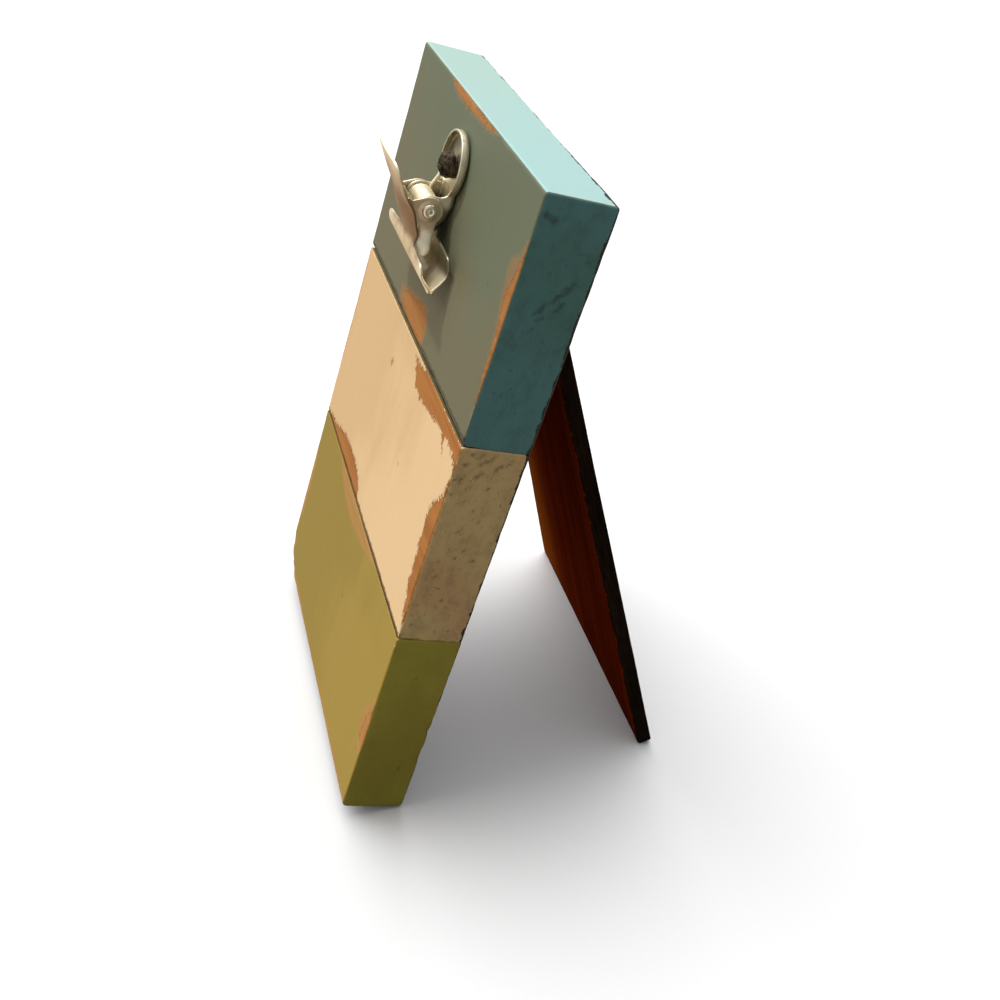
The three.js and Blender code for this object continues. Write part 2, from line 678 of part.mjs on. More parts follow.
function hingeScrews(prefix, side, length) {
  const names = [`${prefix}_left`, `${prefix}_right`];
  return hingeScrewPlaces().map((x, i) => part(names[i], hingeScrewShape(side, x, length, 0), BRASS));
}

function hingePin() {
  const end = HINGE_LENGTH / 2 + HINGE_CLEARANCE;
  const tip = end + HINGE_PIN_HEAD_THICKNESS;
  const profile = [
    [0, -tip],
    [HINGE_PIN_HEAD_RADIUS, -tip],
    [HINGE_PIN_HEAD_RADIUS, -end],
    [HINGE_PIN_RADIUS, -end],
    [HINGE_PIN_RADIUS, end],
    [HINGE_PIN_HEAD_RADIUS, end],
    [HINGE_PIN_HEAD_RADIUS, tip],
    [0, tip],
  ];
  return part("hinge_pin", solid(turnToX(turned(profile))), BRASS);
}

// Leg: drawn closed about the hinge axis; its bevelled top bears on the board's back when it is open

function easelLeg() {
  const widthAt = (z) => {
    const share = (meetAboveHinge - z) / LEG_REACH;
    return THREE.MathUtils.lerp(LEG_TOP_WIDTH, LEG_FOOT_WIDTH, share);
  };
  const half = new THREE.Path();
  half.moveTo(widthAt(-legBelowHinge) / 2, -legBelowHinge);
  half.lineTo(widthAt(LEG_PAST_HINGE) / 2, LEG_PAST_HINGE);
  const back = hingeOffset + LEG_THICKNESS;
  const blank = solid(throughBoard(mirrored(half), hingeOffset, back, LEG_EASING));
  const stop = LEG_STOP_GAP - hingeOffset;
  const beyond = box(-BOARD_WIDTH, BOARD_WIDTH, stop - BOARD_THICKNESS, stop, 0, BOARD_THICKNESS);
  const stopBevel = solid(beyond.rotateX(-legOpen));
  const pilots = hingeScrewPlaces().map((x) => hingeScrewShape(1, x, LEG_SCREW_LENGTH, HINGE_CLEARANCE));
  return part("easel_leg", blank.subtract(joined([stopBevel, ...pilots])), DARK_WOOD);
}

// The lean at which the board's lower back edge and the leg's foot stand on one level surface.
function restingLean(boardPoints, legPoints) {
  let lean = 0;
  for (let pass = 0; pass < 6; pass++) {
    const height = (p) => p.z * Math.cos(lean) - p.y * Math.sin(lean);
    const lowest = (points) => points.reduce((a, b) => (height(b) < height(a) ? b : a));
    const heel = lowest(boardPoints);
    const toe = lowest(legPoints);
    lean = Math.atan2(toe.z - heel.z, toe.y - heel.y);
  }
  return lean;
}

function pointsOf(mesh) {
  mesh.updateWorldMatrix(true, false);
  const at = mesh.geometry.attributes.position;
  const points = [];
  for (let i = 0; i < at.count; i++) {
    points.push(new THREE.Vector3().fromBufferAttribute(at, i).applyMatrix4(mesh.matrixWorld));
  }
  return points;
}

const board = new THREE.Group();
board.add(...blocksAndDowels());
board.add(clipBackPlate(), clipFrontPlate(), clipPin(), clipSpring(), clipScrew());

const hinge = new THREE.Group();
hinge.name = "leg_hinge_axis";
hinge.position.set(0, hingeY, hingeZ);
hinge.add(hingeLeaf("hinge_board_leaf", -1, BOARD_SCREW_LENGTH, (i) => i % 2 === 0));
hinge.add(...hingeScrews("hinge_board_screw", -1, BOARD_SCREW_LENGTH), hingePin());

const leg = new THREE.Group();
leg.rotation.x = legOpen;
leg.add(hingeLeaf("hinge_leg_leaf", 1, LEG_SCREW_LENGTH, (i) => i % 2 === 1));
leg.add(...hingeScrews("hinge_leg_screw", 1, LEG_SCREW_LENGTH), easelLeg());
hinge.add(leg);
board.add(hinge);

const clipPivot = new THREE.Group();
clipPivot.name = "clip_pivot_axis";
clipPivot.position.set(0, -PIVOT_FRONT, PIVOT_Z);
board.add(clipPivot);

// Lean the board onto its leg, then stand it over the middle of its footprint
const lean = restingLean(
  pointsOf(board.getObjectByName("bottom_block")),
  pointsOf(board.getObjectByName("easel_leg")),
);
board.rotation.x = -lean;
const clipFrame = new THREE.Group();
clipFrame.add(board);
const bounds = new THREE.Box3().setFromObject(clipFrame, true);
const middle = bounds.getCenter(new THREE.Vector3());
board.position.set(-middle.x, -middle.y, -bounds.min.z);

export default clipFrame;
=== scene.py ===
"""The looks of a desk clip frame: worn painted blocks, a bent-sheet spring clip and a stained easel leg."""
import json
import math

import bmesh
import bpy
import numpy as np
from mathutils import Matrix, Vector, noise
from mathutils.geometry import delaunay_2d_cdt


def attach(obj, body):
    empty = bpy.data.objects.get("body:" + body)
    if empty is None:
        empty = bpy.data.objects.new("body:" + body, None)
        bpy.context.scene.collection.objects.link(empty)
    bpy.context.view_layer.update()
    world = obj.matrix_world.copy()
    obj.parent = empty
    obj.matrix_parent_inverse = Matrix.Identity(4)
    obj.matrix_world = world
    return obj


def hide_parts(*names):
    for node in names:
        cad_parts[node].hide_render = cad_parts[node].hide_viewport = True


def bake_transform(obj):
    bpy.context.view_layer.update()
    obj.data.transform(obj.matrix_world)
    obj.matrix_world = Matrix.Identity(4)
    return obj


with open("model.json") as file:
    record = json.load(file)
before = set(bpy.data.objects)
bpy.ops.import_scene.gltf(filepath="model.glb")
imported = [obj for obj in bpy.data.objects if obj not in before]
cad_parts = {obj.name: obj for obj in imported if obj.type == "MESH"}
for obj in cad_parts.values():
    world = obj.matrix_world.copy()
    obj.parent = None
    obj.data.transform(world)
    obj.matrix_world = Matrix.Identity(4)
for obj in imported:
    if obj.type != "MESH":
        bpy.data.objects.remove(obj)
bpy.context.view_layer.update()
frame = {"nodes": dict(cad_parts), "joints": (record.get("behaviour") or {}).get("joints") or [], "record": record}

# Millimetres in the board's own frame: x to the viewer's right, y from the front face to the back, z up it.
# "Front" is a distance out of the front face. Pairs for a smooth step are where it is 0 and where it is 1.
MM = 0.001
HALF_THICKNESS = 13

# Blocks: (lower, upper) rounding of each block's front edges, and of its other edges
FRONT_ROUNDINGS = {"bottom_block": (2.6, 0.4), "middle_block": (1.4, 0.4), "top_block": (2.9, 1.2)}
END_ROUNDINGS = {"bottom_block": (2.0, 0.08), "middle_block": (0.08, 0.08), "top_block": (0.08, 1.2)}
SEAM_CLOSING = {"bottom_block": (0, 0.14), "middle_block": (0.14, 0.14), "top_block": (0.14, 0)}
BACK_ROUNDING = 1.2
ARRIS_ROUNDING = 0.8
EDGE_FADE = (8, 4)
KNOCKED_CORNER = 9
KNOCKED_REACH = (18, 10)
KNOCKED_DEPTH = (22, 2)
NICK_DEPTH = 0.7
NICK_SIZE = 7
BACK_GOUGES = {"bottom_block": 3.6, "middle_block": 0.8, "top_block": 0.3}
GOUGE_SIZE = 5
GOUGE_SEED = 9
WAVE_DEPTH = 0.11
WAVE_SIZE = 38
WAVE_SEED = 5
WORN_ROUNDING = 0.5
WORN_FADE = (-2, 3)
WORN_SINK = 0.3
FINE_STEP = 0.45
FINE_MARGIN = 4.5
COARSE_STEP = 1.25
GLUE_GAP = 0.3
DOWEL_SIDES = 32
DOWEL_LEVELS = {"bottom_block": ["low"], "middle_block": ["low", "high"], "top_block": ["high"]}
BLOCK_SLOTS = {"top_block": "sage_paint", "middle_block": "cream_paint", "bottom_block": "olive_paint"}

# How deep inside its outline a mark may count on a flat face, and how fast that falls as the face turns
FRONT_REACH = 3.5
FRONT_FALL = 12
SIDE_REACH = 2
SIDE_FALL = 8
FAR_FROM_WEAR = -8
FAR_FROM_SCUFFS = -6
FLAKED_FACING = -0.7

# Places on the front face, as (x, z) outlines, where the paint is worn to the wood
WORN_PATCHES = {
    "top_block": [
        [(-35, 264.8), (-32, 263.3), (-24, 262.2), (-14, 261.9), (3, 262.3), (15, 262.4), (27, 264),
         (30, 265.4), (12, 265.2), (-6, 265.8), (-24, 266)],
        [(90, 250), (84.6, 246), (82.6, 241), (80.8, 236), (79.4, 231), (79, 226), (81, 219), (82.2, 210),
         (83, 200), (84, 192), (90, 188)],
        [(-23, 181), (-15, 186.4), (-10, 185.6), (4, 189.8), (12, 189.6), (15.6, 185), (16.4, 180), (15, 175),
         (-8, 175), (-18, 178)],
    ],
    "middle_block": [
        [(14, 172), (20, 167.5), (24, 163.3), (32, 163), (44, 164.6), (62, 167.4), (78, 168), (90, 160),
         (90, 178), (34, 178), (28, 172.4)],
        [(63.5, 168.5), (66.2, 165), (72, 160), (67.8, 165.2), (67, 168.5)],
        [(90, 168), (84.4, 161), (83.4, 155), (81, 150), (75.6, 145), (74.4, 139), (75.6, 133), (74.9, 128),
         (76.8, 122), (77.4, 111), (80.2, 105), (83.5, 96), (90, 94)],
        [(-80, 86), (-77, 91.6), (-67, 93), (-46, 99.4), (-33, 100.2), (-20, 99.8), (-14, 98), (-8, 95),
         (-3, 86)],
    ],
    "bottom_block": [[(90, 56), (84, 53), (80, 47), (78.4, 40), (79, 34), (83, 33), (90, 31)]],
}
# Places where it is only rubbed thin
RUBBED_PATCHES = {
    "top_block": [
        [(90, 258), (84, 252), (80, 244), (74.5, 240.5), (73.5, 237), (75, 230), (77, 224), (80, 216),
         (81.4, 205), (82.6, 196), (90, 186)],
        [(-28, 184), (-14, 187.6), (4, 191), (13, 191), (17.5, 186), (18, 175), (-26, 175)],
    ],
    "middle_block": [[(-90, 172), (-82, 168), (-82, 120), (-90, 112)]],
    "bottom_block": [
        [(-50, 92), (-37, 84.5), (-25, 81), (-8, 79), (10, 80.5), (24, 83.5), (40, 88), (46, 92)],
        [(-90, -4), (-90, 6), (0, 4), (90, 6), (90, -4)],
        [(-90, 70), (-80, 66), (-79, 30), (-90, 24)],
        [(90, 62), (81.6, 57), (75, 46), (73.5, 36.4), (77, 30), (90, 27)],
    ],
}
# Places along the front edges where the paint flakes, and dark specks on the front: as strokes, each with
# its ends as (x, z) and its half width
FLAKED_EDGES = {
    "top_block": [((84, 190), (84.6, 179), 1.2)],
    "middle_block": [((84.4, 102), (84.6, 88), 1.4), ((-60, 88), (-20, 88), 1.2)],
    "bottom_block": [((20, 86), (84, 86), 1.6), ((-50, 86), (-10, 86), 1.2)],
}
FRONT_SPECKS = {
    "top_block": [((62, 224), (62.4, 224.5), 0.7), ((33, 246), (33.4, 246.3), 0.6)],
    "middle_block": [((-11.8, 154.8), (-11.4, 155.8), 1.5), ((30, 132), (30.5, 132.4), 0.8)],
    "bottom_block": [((12, 52), (12.5, 52.4), 0.8)],
}
# Dark scuffs on the side faces: ends of each stroke as (y, z), and its half width
SCUFFS = {
    "top_block": [
        ((2.3, 259), (5.8, 257.6), 1.3), ((8.2, 249.8), (9, 249), 0.5), ((17.4, 235.8), (19.4, 238.6), 1.0),
        ((9.6, 226.4), (12.4, 229.4), 0.9), ((12.6, 230.6), (15.4, 232.4), 1.1),
        ((15.2, 233.2), (18.2, 235.4), 0.9), ((11, 224.4), (13.4, 226), 0.6),
        ((16.6, 228.8), (17.6, 231), 1.1), ((10, 220.2), (10.5, 221), 0.9), ((17.7, 248.3), (18.4, 249), 0.6),
        ((21, 246.3), (21.5, 246.8), 0.6), ((8, 195.2), (8.4, 195.8), 0.7), ((13, 206.3), (13.4, 206.8), 0.5),
    ],
    "middle_block": [
        ((4.6, 171.6), (5.8, 172.2), 0.8), ((11.8, 169.4), (13.6, 172.6), 0.8),
        ((3.4, 167.2), (4.6, 168), 0.9), ((8.8, 168.2), (10.2, 169.6), 0.8), ((9, 163), (10.6, 164.6), 0.8),
        ((3.2, 160.6), (4.2, 162.4), 1.1), ((2.1, 155), (2.6, 155.6), 0.7),
        ((13.6, 131.6), (14.4, 132.4), 0.8), ((5.3, 125.6), (5.8, 126.4), 0.6),
        ((11.3, 128), (11.8, 128.6), 0.6), ((15, 144.6), (15.6, 145.4), 0.5), ((7, 170.6), (9.6, 172.8), 0.7),
        ((14.6, 165.4), (16.8, 168.6), 0.7), ((6.2, 157), (8.4, 159.4), 0.6),
        ((18.6, 169.4), (20.2, 171.6), 0.6), ((8.4, 139.6), (10, 141.4), 0.6), ((5.6, 118), (7, 120.4), 0.6),
    ],
    "bottom_block": [((12, 70), (13, 71), 0.4), ((18, 22), (19, 23.4), 0.5)],
}

# Clip sheet and its bends, measured on the middle of the sheet. Profiles are (front, z), from the top down.
SHEET = 0.9
BEND = 1.25
QUARTER_BEND = np.radians(np.linspace(0, 90, 6))
PLATE_SPACING = 0.8
EAR_SPACING = 0.6
RIM_SECTION = [(0, 0.5), (0.17, 0.46), (0.26, 0.3), (0.29, 0), (0.26, -0.3), (0.17, -0.46), (0, -0.5)]
WELD = 0.02
PIVOT_FRONT = 9.2
PIVOT_Z = 227.2
EAR_RADIUS = 5
EAR_HOLE = 2.1
BOSS_HEIGHT = 0.35
BOSS_EDGE = (3.9, 3.1)
JAW_HALF_WIDTH = 28.4
JAW_CORNER = 3
SHOULDER_DROP = 1
SHOULDER_FILLET = (2, 1.4)
LIP_Z = 203.7

# Back plate. Its wall is drawn flat, as (run along the bend, front), the rim's run counted from the pivot.
HANDLE_Z = 243
HANDLE_BEND_RADIUS = 10.9
BACK_PROFILE = [
    (0.75, HANDLE_Z + 13), (0.75, 238), (0.75, 233), (0.75, 228.6), (2, 224.2), (4, 220.6), (3.1, 217),
    (2.1, 213.4), (2.7, 209.9), (4.4, 206.9), (5.8, 204.8), (5.95, LIP_Z - 0.2),
]
BACK_SHOULDER_Z = 218.5
BACK_NECK_X = 8.3
BACK_BEND_X = 6.7
BACK_EAR_FOOT_Z = 220.9
BACK_NECK_TOP = BACK_EAR_FOOT_Z - 0.7
BACK_EAR_FOOT = [(0.7, 7), (0, 5.9)]
RIM_FRONT = 3.4
RIM_END = [(6.9, RIM_FRONT), (5.8, 4.0), (5.1, 5.6)]
NECK_FILLET = 2.5
SCREW_HOLE = 2.6

# Front plate: places on its straight thumb tab are distances down from the tip
TAB_TIP_FRONT = 27.6
TAB_TIP_Z = 243.2
TAB_SLOPE = math.radians(29.9)
TAB_HALF_WIDTH = 15.8
TAB_FOOT_HALF_WIDTH = 11.3
TAB_FOOT_Z = 232.2
TAB_CORNER = 4
TAB_PLACES = (-1, 0, 8, 16, 24, 30.6)
FRONT_JAW_PROFILE = [(12.3, 212.6), (11.4, 209), (9.2, 206.4), (7.4, 204.8), (7.25, LIP_Z - 0.2)]
FRONT_SHOULDER_Z = 214.2
TAB_ARCH = 1.2
TAB_FLAT_X = 8.2
TAB_ARCH_FOOT = (214.5, 219)
TAB_ARCH_END = (226, 234)
TAB_ARCH_LOSS = 0.85
FRONT_BEND_X = 8.2
EAR_TOP_DOWN = 16
EAR_FOOT_DOWN = 25.6
EAR_ROWS = 19
EAR_UPPER_EDGE = [(16.2, 229.7), (11.3, 231.9)]
EAR_TIP_END = 221
EAR_LOWER_EDGE = [(11.2, 221.9), (12.2, 222)]
TONGUE_RADIUS = 9.6
TONGUE_ROLL = math.radians(32)
TONGUE_FLARE = 2.4
TONGUE_NEAR = 5.8
TONGUE_WIDTH = 5.4
TONGUE_FAR = TONGUE_NEAR + TONGUE_WIDTH
TONGUE_FRONT_FADE = (TONGUE_FAR + 1, TONGUE_FAR + 0.1)
TONGUE_END_Z = 211
TONGUE_ROLL_Z = 221.5
TONGUE_FAR_TOP = 221.2
TONGUE_ROLL_LENGTH = 4

# Spring: its back arm ends at (rise, out) from the pivot
WIRE_RADIUS = 0.76
WIRE_END = 0.6
COIL_RADIUS = 4.1
COIL_HALF_LENGTH = 6.6
COIL_FULL_TURNS = 8
BACK_ARM_END = (13.5, -7.15)
BACK_ARM_OPENING = math.radians(12)
FRONT_ARM_REACH = 11
ARM_GAP = 0.1
ARM_SPACING = 0.8
STEPS_PER_TURN = 30
WIRE_SIDES = 12

# Rivet: its rolled end as (in from the head's radius, in from the end),
# and its mouth as (radius, in from the end)
RIVET_SHANK = 1.55
RIVET_ROLL = [(0.1, 0.9), (0, 0.7), (0.05, 0.45), (0.3, 0.2), (0.7, 0.04)]
RIVET_MOUTH = [(1.5, 0), (1.15, 0.1), (0.98, 0.4), (0.95, 2.4), (0, 2.4)]
RIVET_SIDES = 48

# Screw head, its shank as (radius, height), and the lumps of its crust as (share, size, seed)
SCREW_SEAT = 1.3
SCREW_RADIUS = 5.0
SCREW_WALL = 2.6
SCREW_CROWN = 3.5
SCREW_SHANK = [(2.2, SCREW_SEAT), (2.0, 0), (2.0, -12), (0.3, -15.6), (0, -15.8)]
SCREW_SIDES = 72
SCREW_SHARP = math.radians(50)
SLOT_HALF_WIDTH = 0.9
SLOT_DEPTH = 2.2
SLOT_TURN = math.radians(35)
SLOT_HALF_LENGTH = 1.2 * SCREW_RADIUS
SLOT_OVERSHOOT = 2
CRUST_DEPTH = 0.75
CRUST_LUMPS = [(0.6, 1.9, 3), (0.4, 0.8, 8)]
CRUST_SINK = 0.5
CRUST_START = SCREW_SEAT + 0.1
SCREW_TILT = math.radians(14)
SCREW_LIFT = 0.8

# Leg, bevelled at its upper end along the back of the board
LEG_ROUNDING = 0.7
LEG_FOOT_ROUNDING = 1.0
LEG_NICK_DEPTH = 0.56
LEG_NICK_SEED = 40
LEG_WAVE_DEPTH = 0.088
LEG_WAVE_SEED = 47
HINGE_TO_BACK = 2

# Camera, as solved from the photographed corners of the board
CAMERA_PLACE = (0.42464, -0.11636, 0.39805)
CAMERA_TURN = (55.177, -2.95, 74.832)
LENS = 44.28
SENSOR = 36
CLIP_START = 0.01

# Light: a crisp and a soft lamp from one side on the object, a lamp for the floor alone, and an even fill
TO_LIGHT = Vector((-0.325, -0.198, 0.925))
TO_FLOOR_LIGHT = Vector((-0.6, -0.16, 0.78))
CRISP_LIGHT = 0.7
CRISP_ANGLE = 4
SOFT_LIGHT = 0.78
SOFT_ANGLE = 85
FLOOR_LIGHT = 1.2
FILL = 0.3
MIRRORED_FILL = 0.7
FLOOR_HALF_WIDTH = 4.0
FLOOR_LEVEL = -0.0002


# Frames of the board and of the leg

def axes(x_axis, y_axis, z_axis, origin):
    """The matrix from millimetres along three axes to metres in the shared frame."""
    turn = Matrix((x_axis, y_axis, z_axis)).transposed() * MM
    return Matrix.Translation(origin) @ turn.to_4x4()


mounts = {mount["name"]: mount for mount in frame["record"]["mounts"]}
joints = {joint["name"]: joint for joint in frame["joints"]}
sideways = Vector((1, 0, 0))
backwards = -Vector(mounts["print_face"]["axis"])
upwards = -Vector(mounts["base_face"]["axis"])
foot = Vector(mounts["base_face"]["pos_m"]) - HALF_THICKNESS * MM * backwards
BOARD = axes(sideways, backwards, upwards, foot)

leg_open = math.radians(max(joints["leg_fold"]["range_deg"]))
leg_out = backwards * math.cos(leg_open) + upwards * math.sin(leg_open)
leg_up = upwards * math.cos(leg_open) - backwards * math.sin(leg_open)
LEG = axes(sideways, leg_out, leg_up, Vector(joints["leg_fold"]["pos_m"]))


def node_points(name, into):
    """A frame node's points, in millimetres in one of the frames above."""
    inverse = into.inverted()
    return np.array([inverse @ vertex.co for vertex in frame["nodes"][name].data.vertices])


def node_box(name, into):
    points = node_points(name, into)
    return points.min(0), points.max(0)


# Meshes

def add_object(name, data):
    item = bpy.data.objects.new(name, data)
    bpy.context.scene.collection.objects.link(item)
    return item


def new_piece(name, points, faces, into, material):
    """A closed mesh from points in a frame's millimetres, which it keeps as its "local" attribute."""
    mesh = bpy.data.meshes.new(name)
    mesh.from_pydata([tuple(point) for point in points], [], [tuple(face) for face in faces])
    shell = bmesh.new()
    shell.from_mesh(mesh)
    bmesh.ops.recalc_face_normals(shell, faces=shell.faces)
    shell.to_mesh(mesh)
    shell.free()
    mesh.transform(into)
    mesh.shade_smooth()
    mesh.materials.append(material)
    piece = add_object(name, mesh)
    keep_local(piece, into)
    return piece


def local_points(piece, into):
    flat = np.zeros(3 * len(piece.data.vertices))
    piece.data.vertices.foreach_get("co", flat)
    inverse = np.array(into.inverted())
    return flat.reshape(-1, 3) @ inverse[:3, :3].T + inverse[:3, 3]


def keep(piece, name, values):
    """Stores a number or a vector for each point of a piece."""
    values = np.asarray(values, np.float32)
    kind, field = ("FLOAT", "value") if values.ndim == 1 else ("FLOAT_VECTOR", "vector")
    attribute = piece.data.attributes.get(name) or piece.data.attributes.new(name, kind, "POINT")
    attribute.data.foreach_set(field, values.ravel())


def keep_local(piece, into):
    keep(piece, "local", local_points(piece, into))


def cut(piece, cutter):
    """Cuts a closed mesh out of a piece, and removes the cutter."""
    modifier = piece.modifiers.new("cut", "BOOLEAN")
    modifier.operation = "DIFFERENCE"
    modifier.solver = "EXACT"
    modifier.object = cutter
    shaped = piece.evaluated_get(bpy.context.evaluated_depsgraph_get())
    mesh = bpy.data.meshes.new_from_object(shaped)
    piece.modifiers.clear()
    piece.data = mesh
    bpy.data.objects.remove(cutter)


def joined(shapes):
    """Several (points, faces) as one."""
    points, faces = [], []
    for more_points, more_faces in shapes:
        first = sum(len(each) for each in points)
        points.append(np.asarray(more_points))
        faces += [[first + corner for corner in face] for face in more_faces]
    return np.concatenate(points), faces


def smooth_step(values, low, high):
    share = np.clip((values - low) / (high - low), 0, 1)
    return share * share * (3 - 2 * share)


def lumps(points, size, offset):
    """Smooth noise from about -1 to 1 at each point, in lumps of about the given size."""
    shift = Vector((offset, 0.37 * offset, -0.61 * offset))
    return np.array([noise.noise(Vector(point) / size + shift) for point in points])


def graded(low, high):
    """Places from low to high, close together near both ends."""
    margin = min(FINE_MARGIN, (high - low) / 2)
    fine = np.linspace(0, margin, max(2, round(margin / FINE_STEP)) + 1)
    count = max(1, round((high - low - 2 * margin) / COARSE_STEP))
    middle = np.linspace(low + margin, high - margin, count + 1)[1:-1]
    return np.unique(np.concatenate([low + fine, middle, high - fine]).round(6))


def box_surface(xs, ys, zs):
    """The points and faces of a box, on the given places along each of its axes."""
    counts = (len(xs), len(ys), len(zs))
    grid = np.stack(np.meshgrid(xs, ys, zs, indexing="ij"), -1)
    outside = np.ones(counts, bool)
    outside[1:-1, 1:-1, 1:-1] = False
    number = np.full(counts, -1)
    number[outside] = np.arange(outside.sum())
    faces = []
    for axis in range(3):
        for end in (0, counts[axis] - 1):
            sheet = np.take(number, end, axis)
            corners = [sheet[:-1, :-1], sheet[1:, :-1], sheet[1:, 1:], sheet[:-1, 1:]]
            faces.append(np.stack(corners, -1).reshape(-1, 4))
    return grid[outside], np.concatenate(faces)


def eased(points, low, high, radii):
    """Points of a box moved onto its rounded edges, and which way each then faces."""
    inner = np.clip(points, low + radii, high - radii)
    away = (points - inner) / radii
    away /= np.maximum(np.linalg.norm(away, axis=1, keepdims=True), 1e-9)
    return inner + away * radii, away


def ring_faces(count, sides):
    """Quads between neighbouring rings of equally many points."""
    faces = []
    for ring in range(0, (count - 1) * sides, sides):
        for k in range(sides):
            after = (k + 1) % sides
            faces.append((ring + k, ring + after, ring + sides + after, ring + sides + k))
    return faces


def round_angles(sides):
    return np.arange(sides) * (2 * math.pi / sides)


def turned(profile, sides):
    """A piece turned about z from (radius, height) points that start and end on the axis."""
    middle = profile[1:-1]
    points = [(r * math.cos(a), r * math.sin(a), height) for r, height in middle for a in round_angles(sides)]
    first, last = len(points), len(points) + 1
    top = len(points) - sides
    points += [(0, 0, profile[0][1]), (0, 0, profile[-1][1])]
    faces = ring_faces(len(middle), sides)
    for k in range(sides):
        after = (k + 1) % sides
        faces += [(first, after, k), (last, top + k, top + after)]
    return np.array(points), faces


def tube(path, radius, sides):
    """A closed wire along a path, its section carried along without twist."""
    along = np.gradient(path, axis=0)
    along /= np.linalg.norm(along, axis=1, keepdims=True)
    side = np.cross(along[0], (1, 0, 0))
    points = []
    for i, (place, ahead) in enumerate(zip(path, along)):
        side = side - ahead * side.dot(ahead)
        side /= np.linalg.norm(side)
        other = np.cross(ahead, side)
        width = radius * (WIRE_END if i in (0, len(path) - 1) else 1)
        points += [place + width * (math.cos(a) * side + math.sin(a) * other) for a in round_angles(sides)]
    ends = [range(sides), range(len(points) - sides, len(points))]
    return np.array(points), ring_faces(len(path), sides) + ends


# Lines and sheets

def arc(centre, radius, start, end, steps):
    angles = np.radians(np.linspace(start, end, steps + 1))
    return np.array(centre) + radius * np.stack([np.cos(angles), np.sin(angles)], 1)


def hole(centre, radius):
    return arc(centre, radius, 0, 345, 23)


def swept_corner(start, towards, end):
    t = np.linspace(0, 1, 9)[:, None]
    start, towards, end = np.array(start), np.array(towards), np.array(end)
    return (1 - t) ** 2 * start + 2 * t * (1 - t) * towards + t ** 2 * end


def spaced(points, step):
    """The same line with a point at least every step."""
    line = [np.array(points[0], float)]
    for start, end in zip(np.array(points, float), np.array(points[1:], float)):
        count = max(1, math.ceil(np.linalg.norm(end - start) / step))
        line += [start + (end - start) * (i / count) for i in range(1, count + 1)]
    return np.array(line)


def height_over(points):
    """The front of a bent sheet as a function of z, smooth through (front, z) points that run downwards."""
    held = np.array([points[0], *points, points[-1]], float)
    t = np.linspace(0, 1, 24, endpoint=False)[:, None]
    spans = []
    for a, b, c, d in zip(held, held[1:], held[2:], held[3:]):
        bent = (2 * a - 5 * b + 4 * c - d) * t ** 2 + (3 * b - a - 3 * c + d) * t ** 3
        spans.append(0.5 * (2 * b + (c - a) * t + bent))
    line = np.concatenate([*spans, held[-1:]])[::-1]
    return lambda z: np.interp(z, line[:, 1], line[:, 0])


def is_inside(points, outline):
    start, end = outline, np.roll(outline, -1, 0)
    x, y = points[:, :1], points[:, 1:2]
    spans = (start[:, 1] > y) != (end[:, 1] > y)
    rise = np.where(spans, end[:, 1] - start[:, 1], 1)
    crossing = start[:, 0] + (y - start[:, 1]) / rise * (end[:, 0] - start[:, 0])
    return (spans & (x < crossing)).sum(1) % 2 == 1


def depth_inside(points, outline):
    """How far each point lies inside an outline, negative outside it."""
    outline = np.array(outline, float)
    along = np.roll(outline, -1, 0) - outline
    offset = points[:, None, :] - outline
    share = np.clip((offset * along).sum(-1) / (along ** 2).sum(-1), 0, 1)
    distance = np.linalg.norm(offset - share[..., None] * along, axis=-1).min(1)
    return np.where(is_inside(points, outline), distance, -distance)


def is_filled(points, loops):
    """Which points lie inside an outline, the first loop, and in none of its holes."""
    return sum(is_inside(points, loop) for loop in loops) == 1


def filled(outline, holes, spacing):
    """Triangles of a flat outline with holes, on evenly spread points."""
    loops = [np.asarray(outline), *holes]
    border = np.concatenate(loops)
    (left, low), (right, high) = border.min(0), border.max(0)
    rows = np.arange(low, high, spacing * math.sqrt(3) / 2)
    spots = []
    for i, y in enumerate(rows):
        spots += [(x + (i % 2) * spacing / 2, y) for x in np.arange(left, right, spacing)]
    spots = np.array(spots)
    spots = spots[is_filled(spots, loops)]
    gap = np.linalg.norm(spots[:, None] - border, axis=-1).min(1)
    corners = np.concatenate([border, spots[gap > 0.6 * spacing]])
    edges = []
    for loop in loops:
        first = len(edges)
        edges += [(first + i, first + (i + 1) % len(loop)) for i in range(len(loop))]
    points, _, triangles, *_ = delaunay_2d_cdt([Vector(corner) for corner in corners], edges, [], 0, 1e-6)
    points = np.array(points)
    triangles = np.array(triangles)
    return points, triangles[is_filled(points[triangles].mean(1), loops)]


def strip(lines):
    """Quads between neighbouring lines of equally many points."""
    count = len(lines[0])
    faces = []
    for row in range(0, (len(lines) - 1) * count, count):
        faces += [(row + i, row + i + 1, row + count + i + 1, row + count + i) for i in range(count - 1)]
    return np.concatenate(lines), faces


def other_side(shape):
    points, faces = shape
    return points * (-1, 1, 1), faces


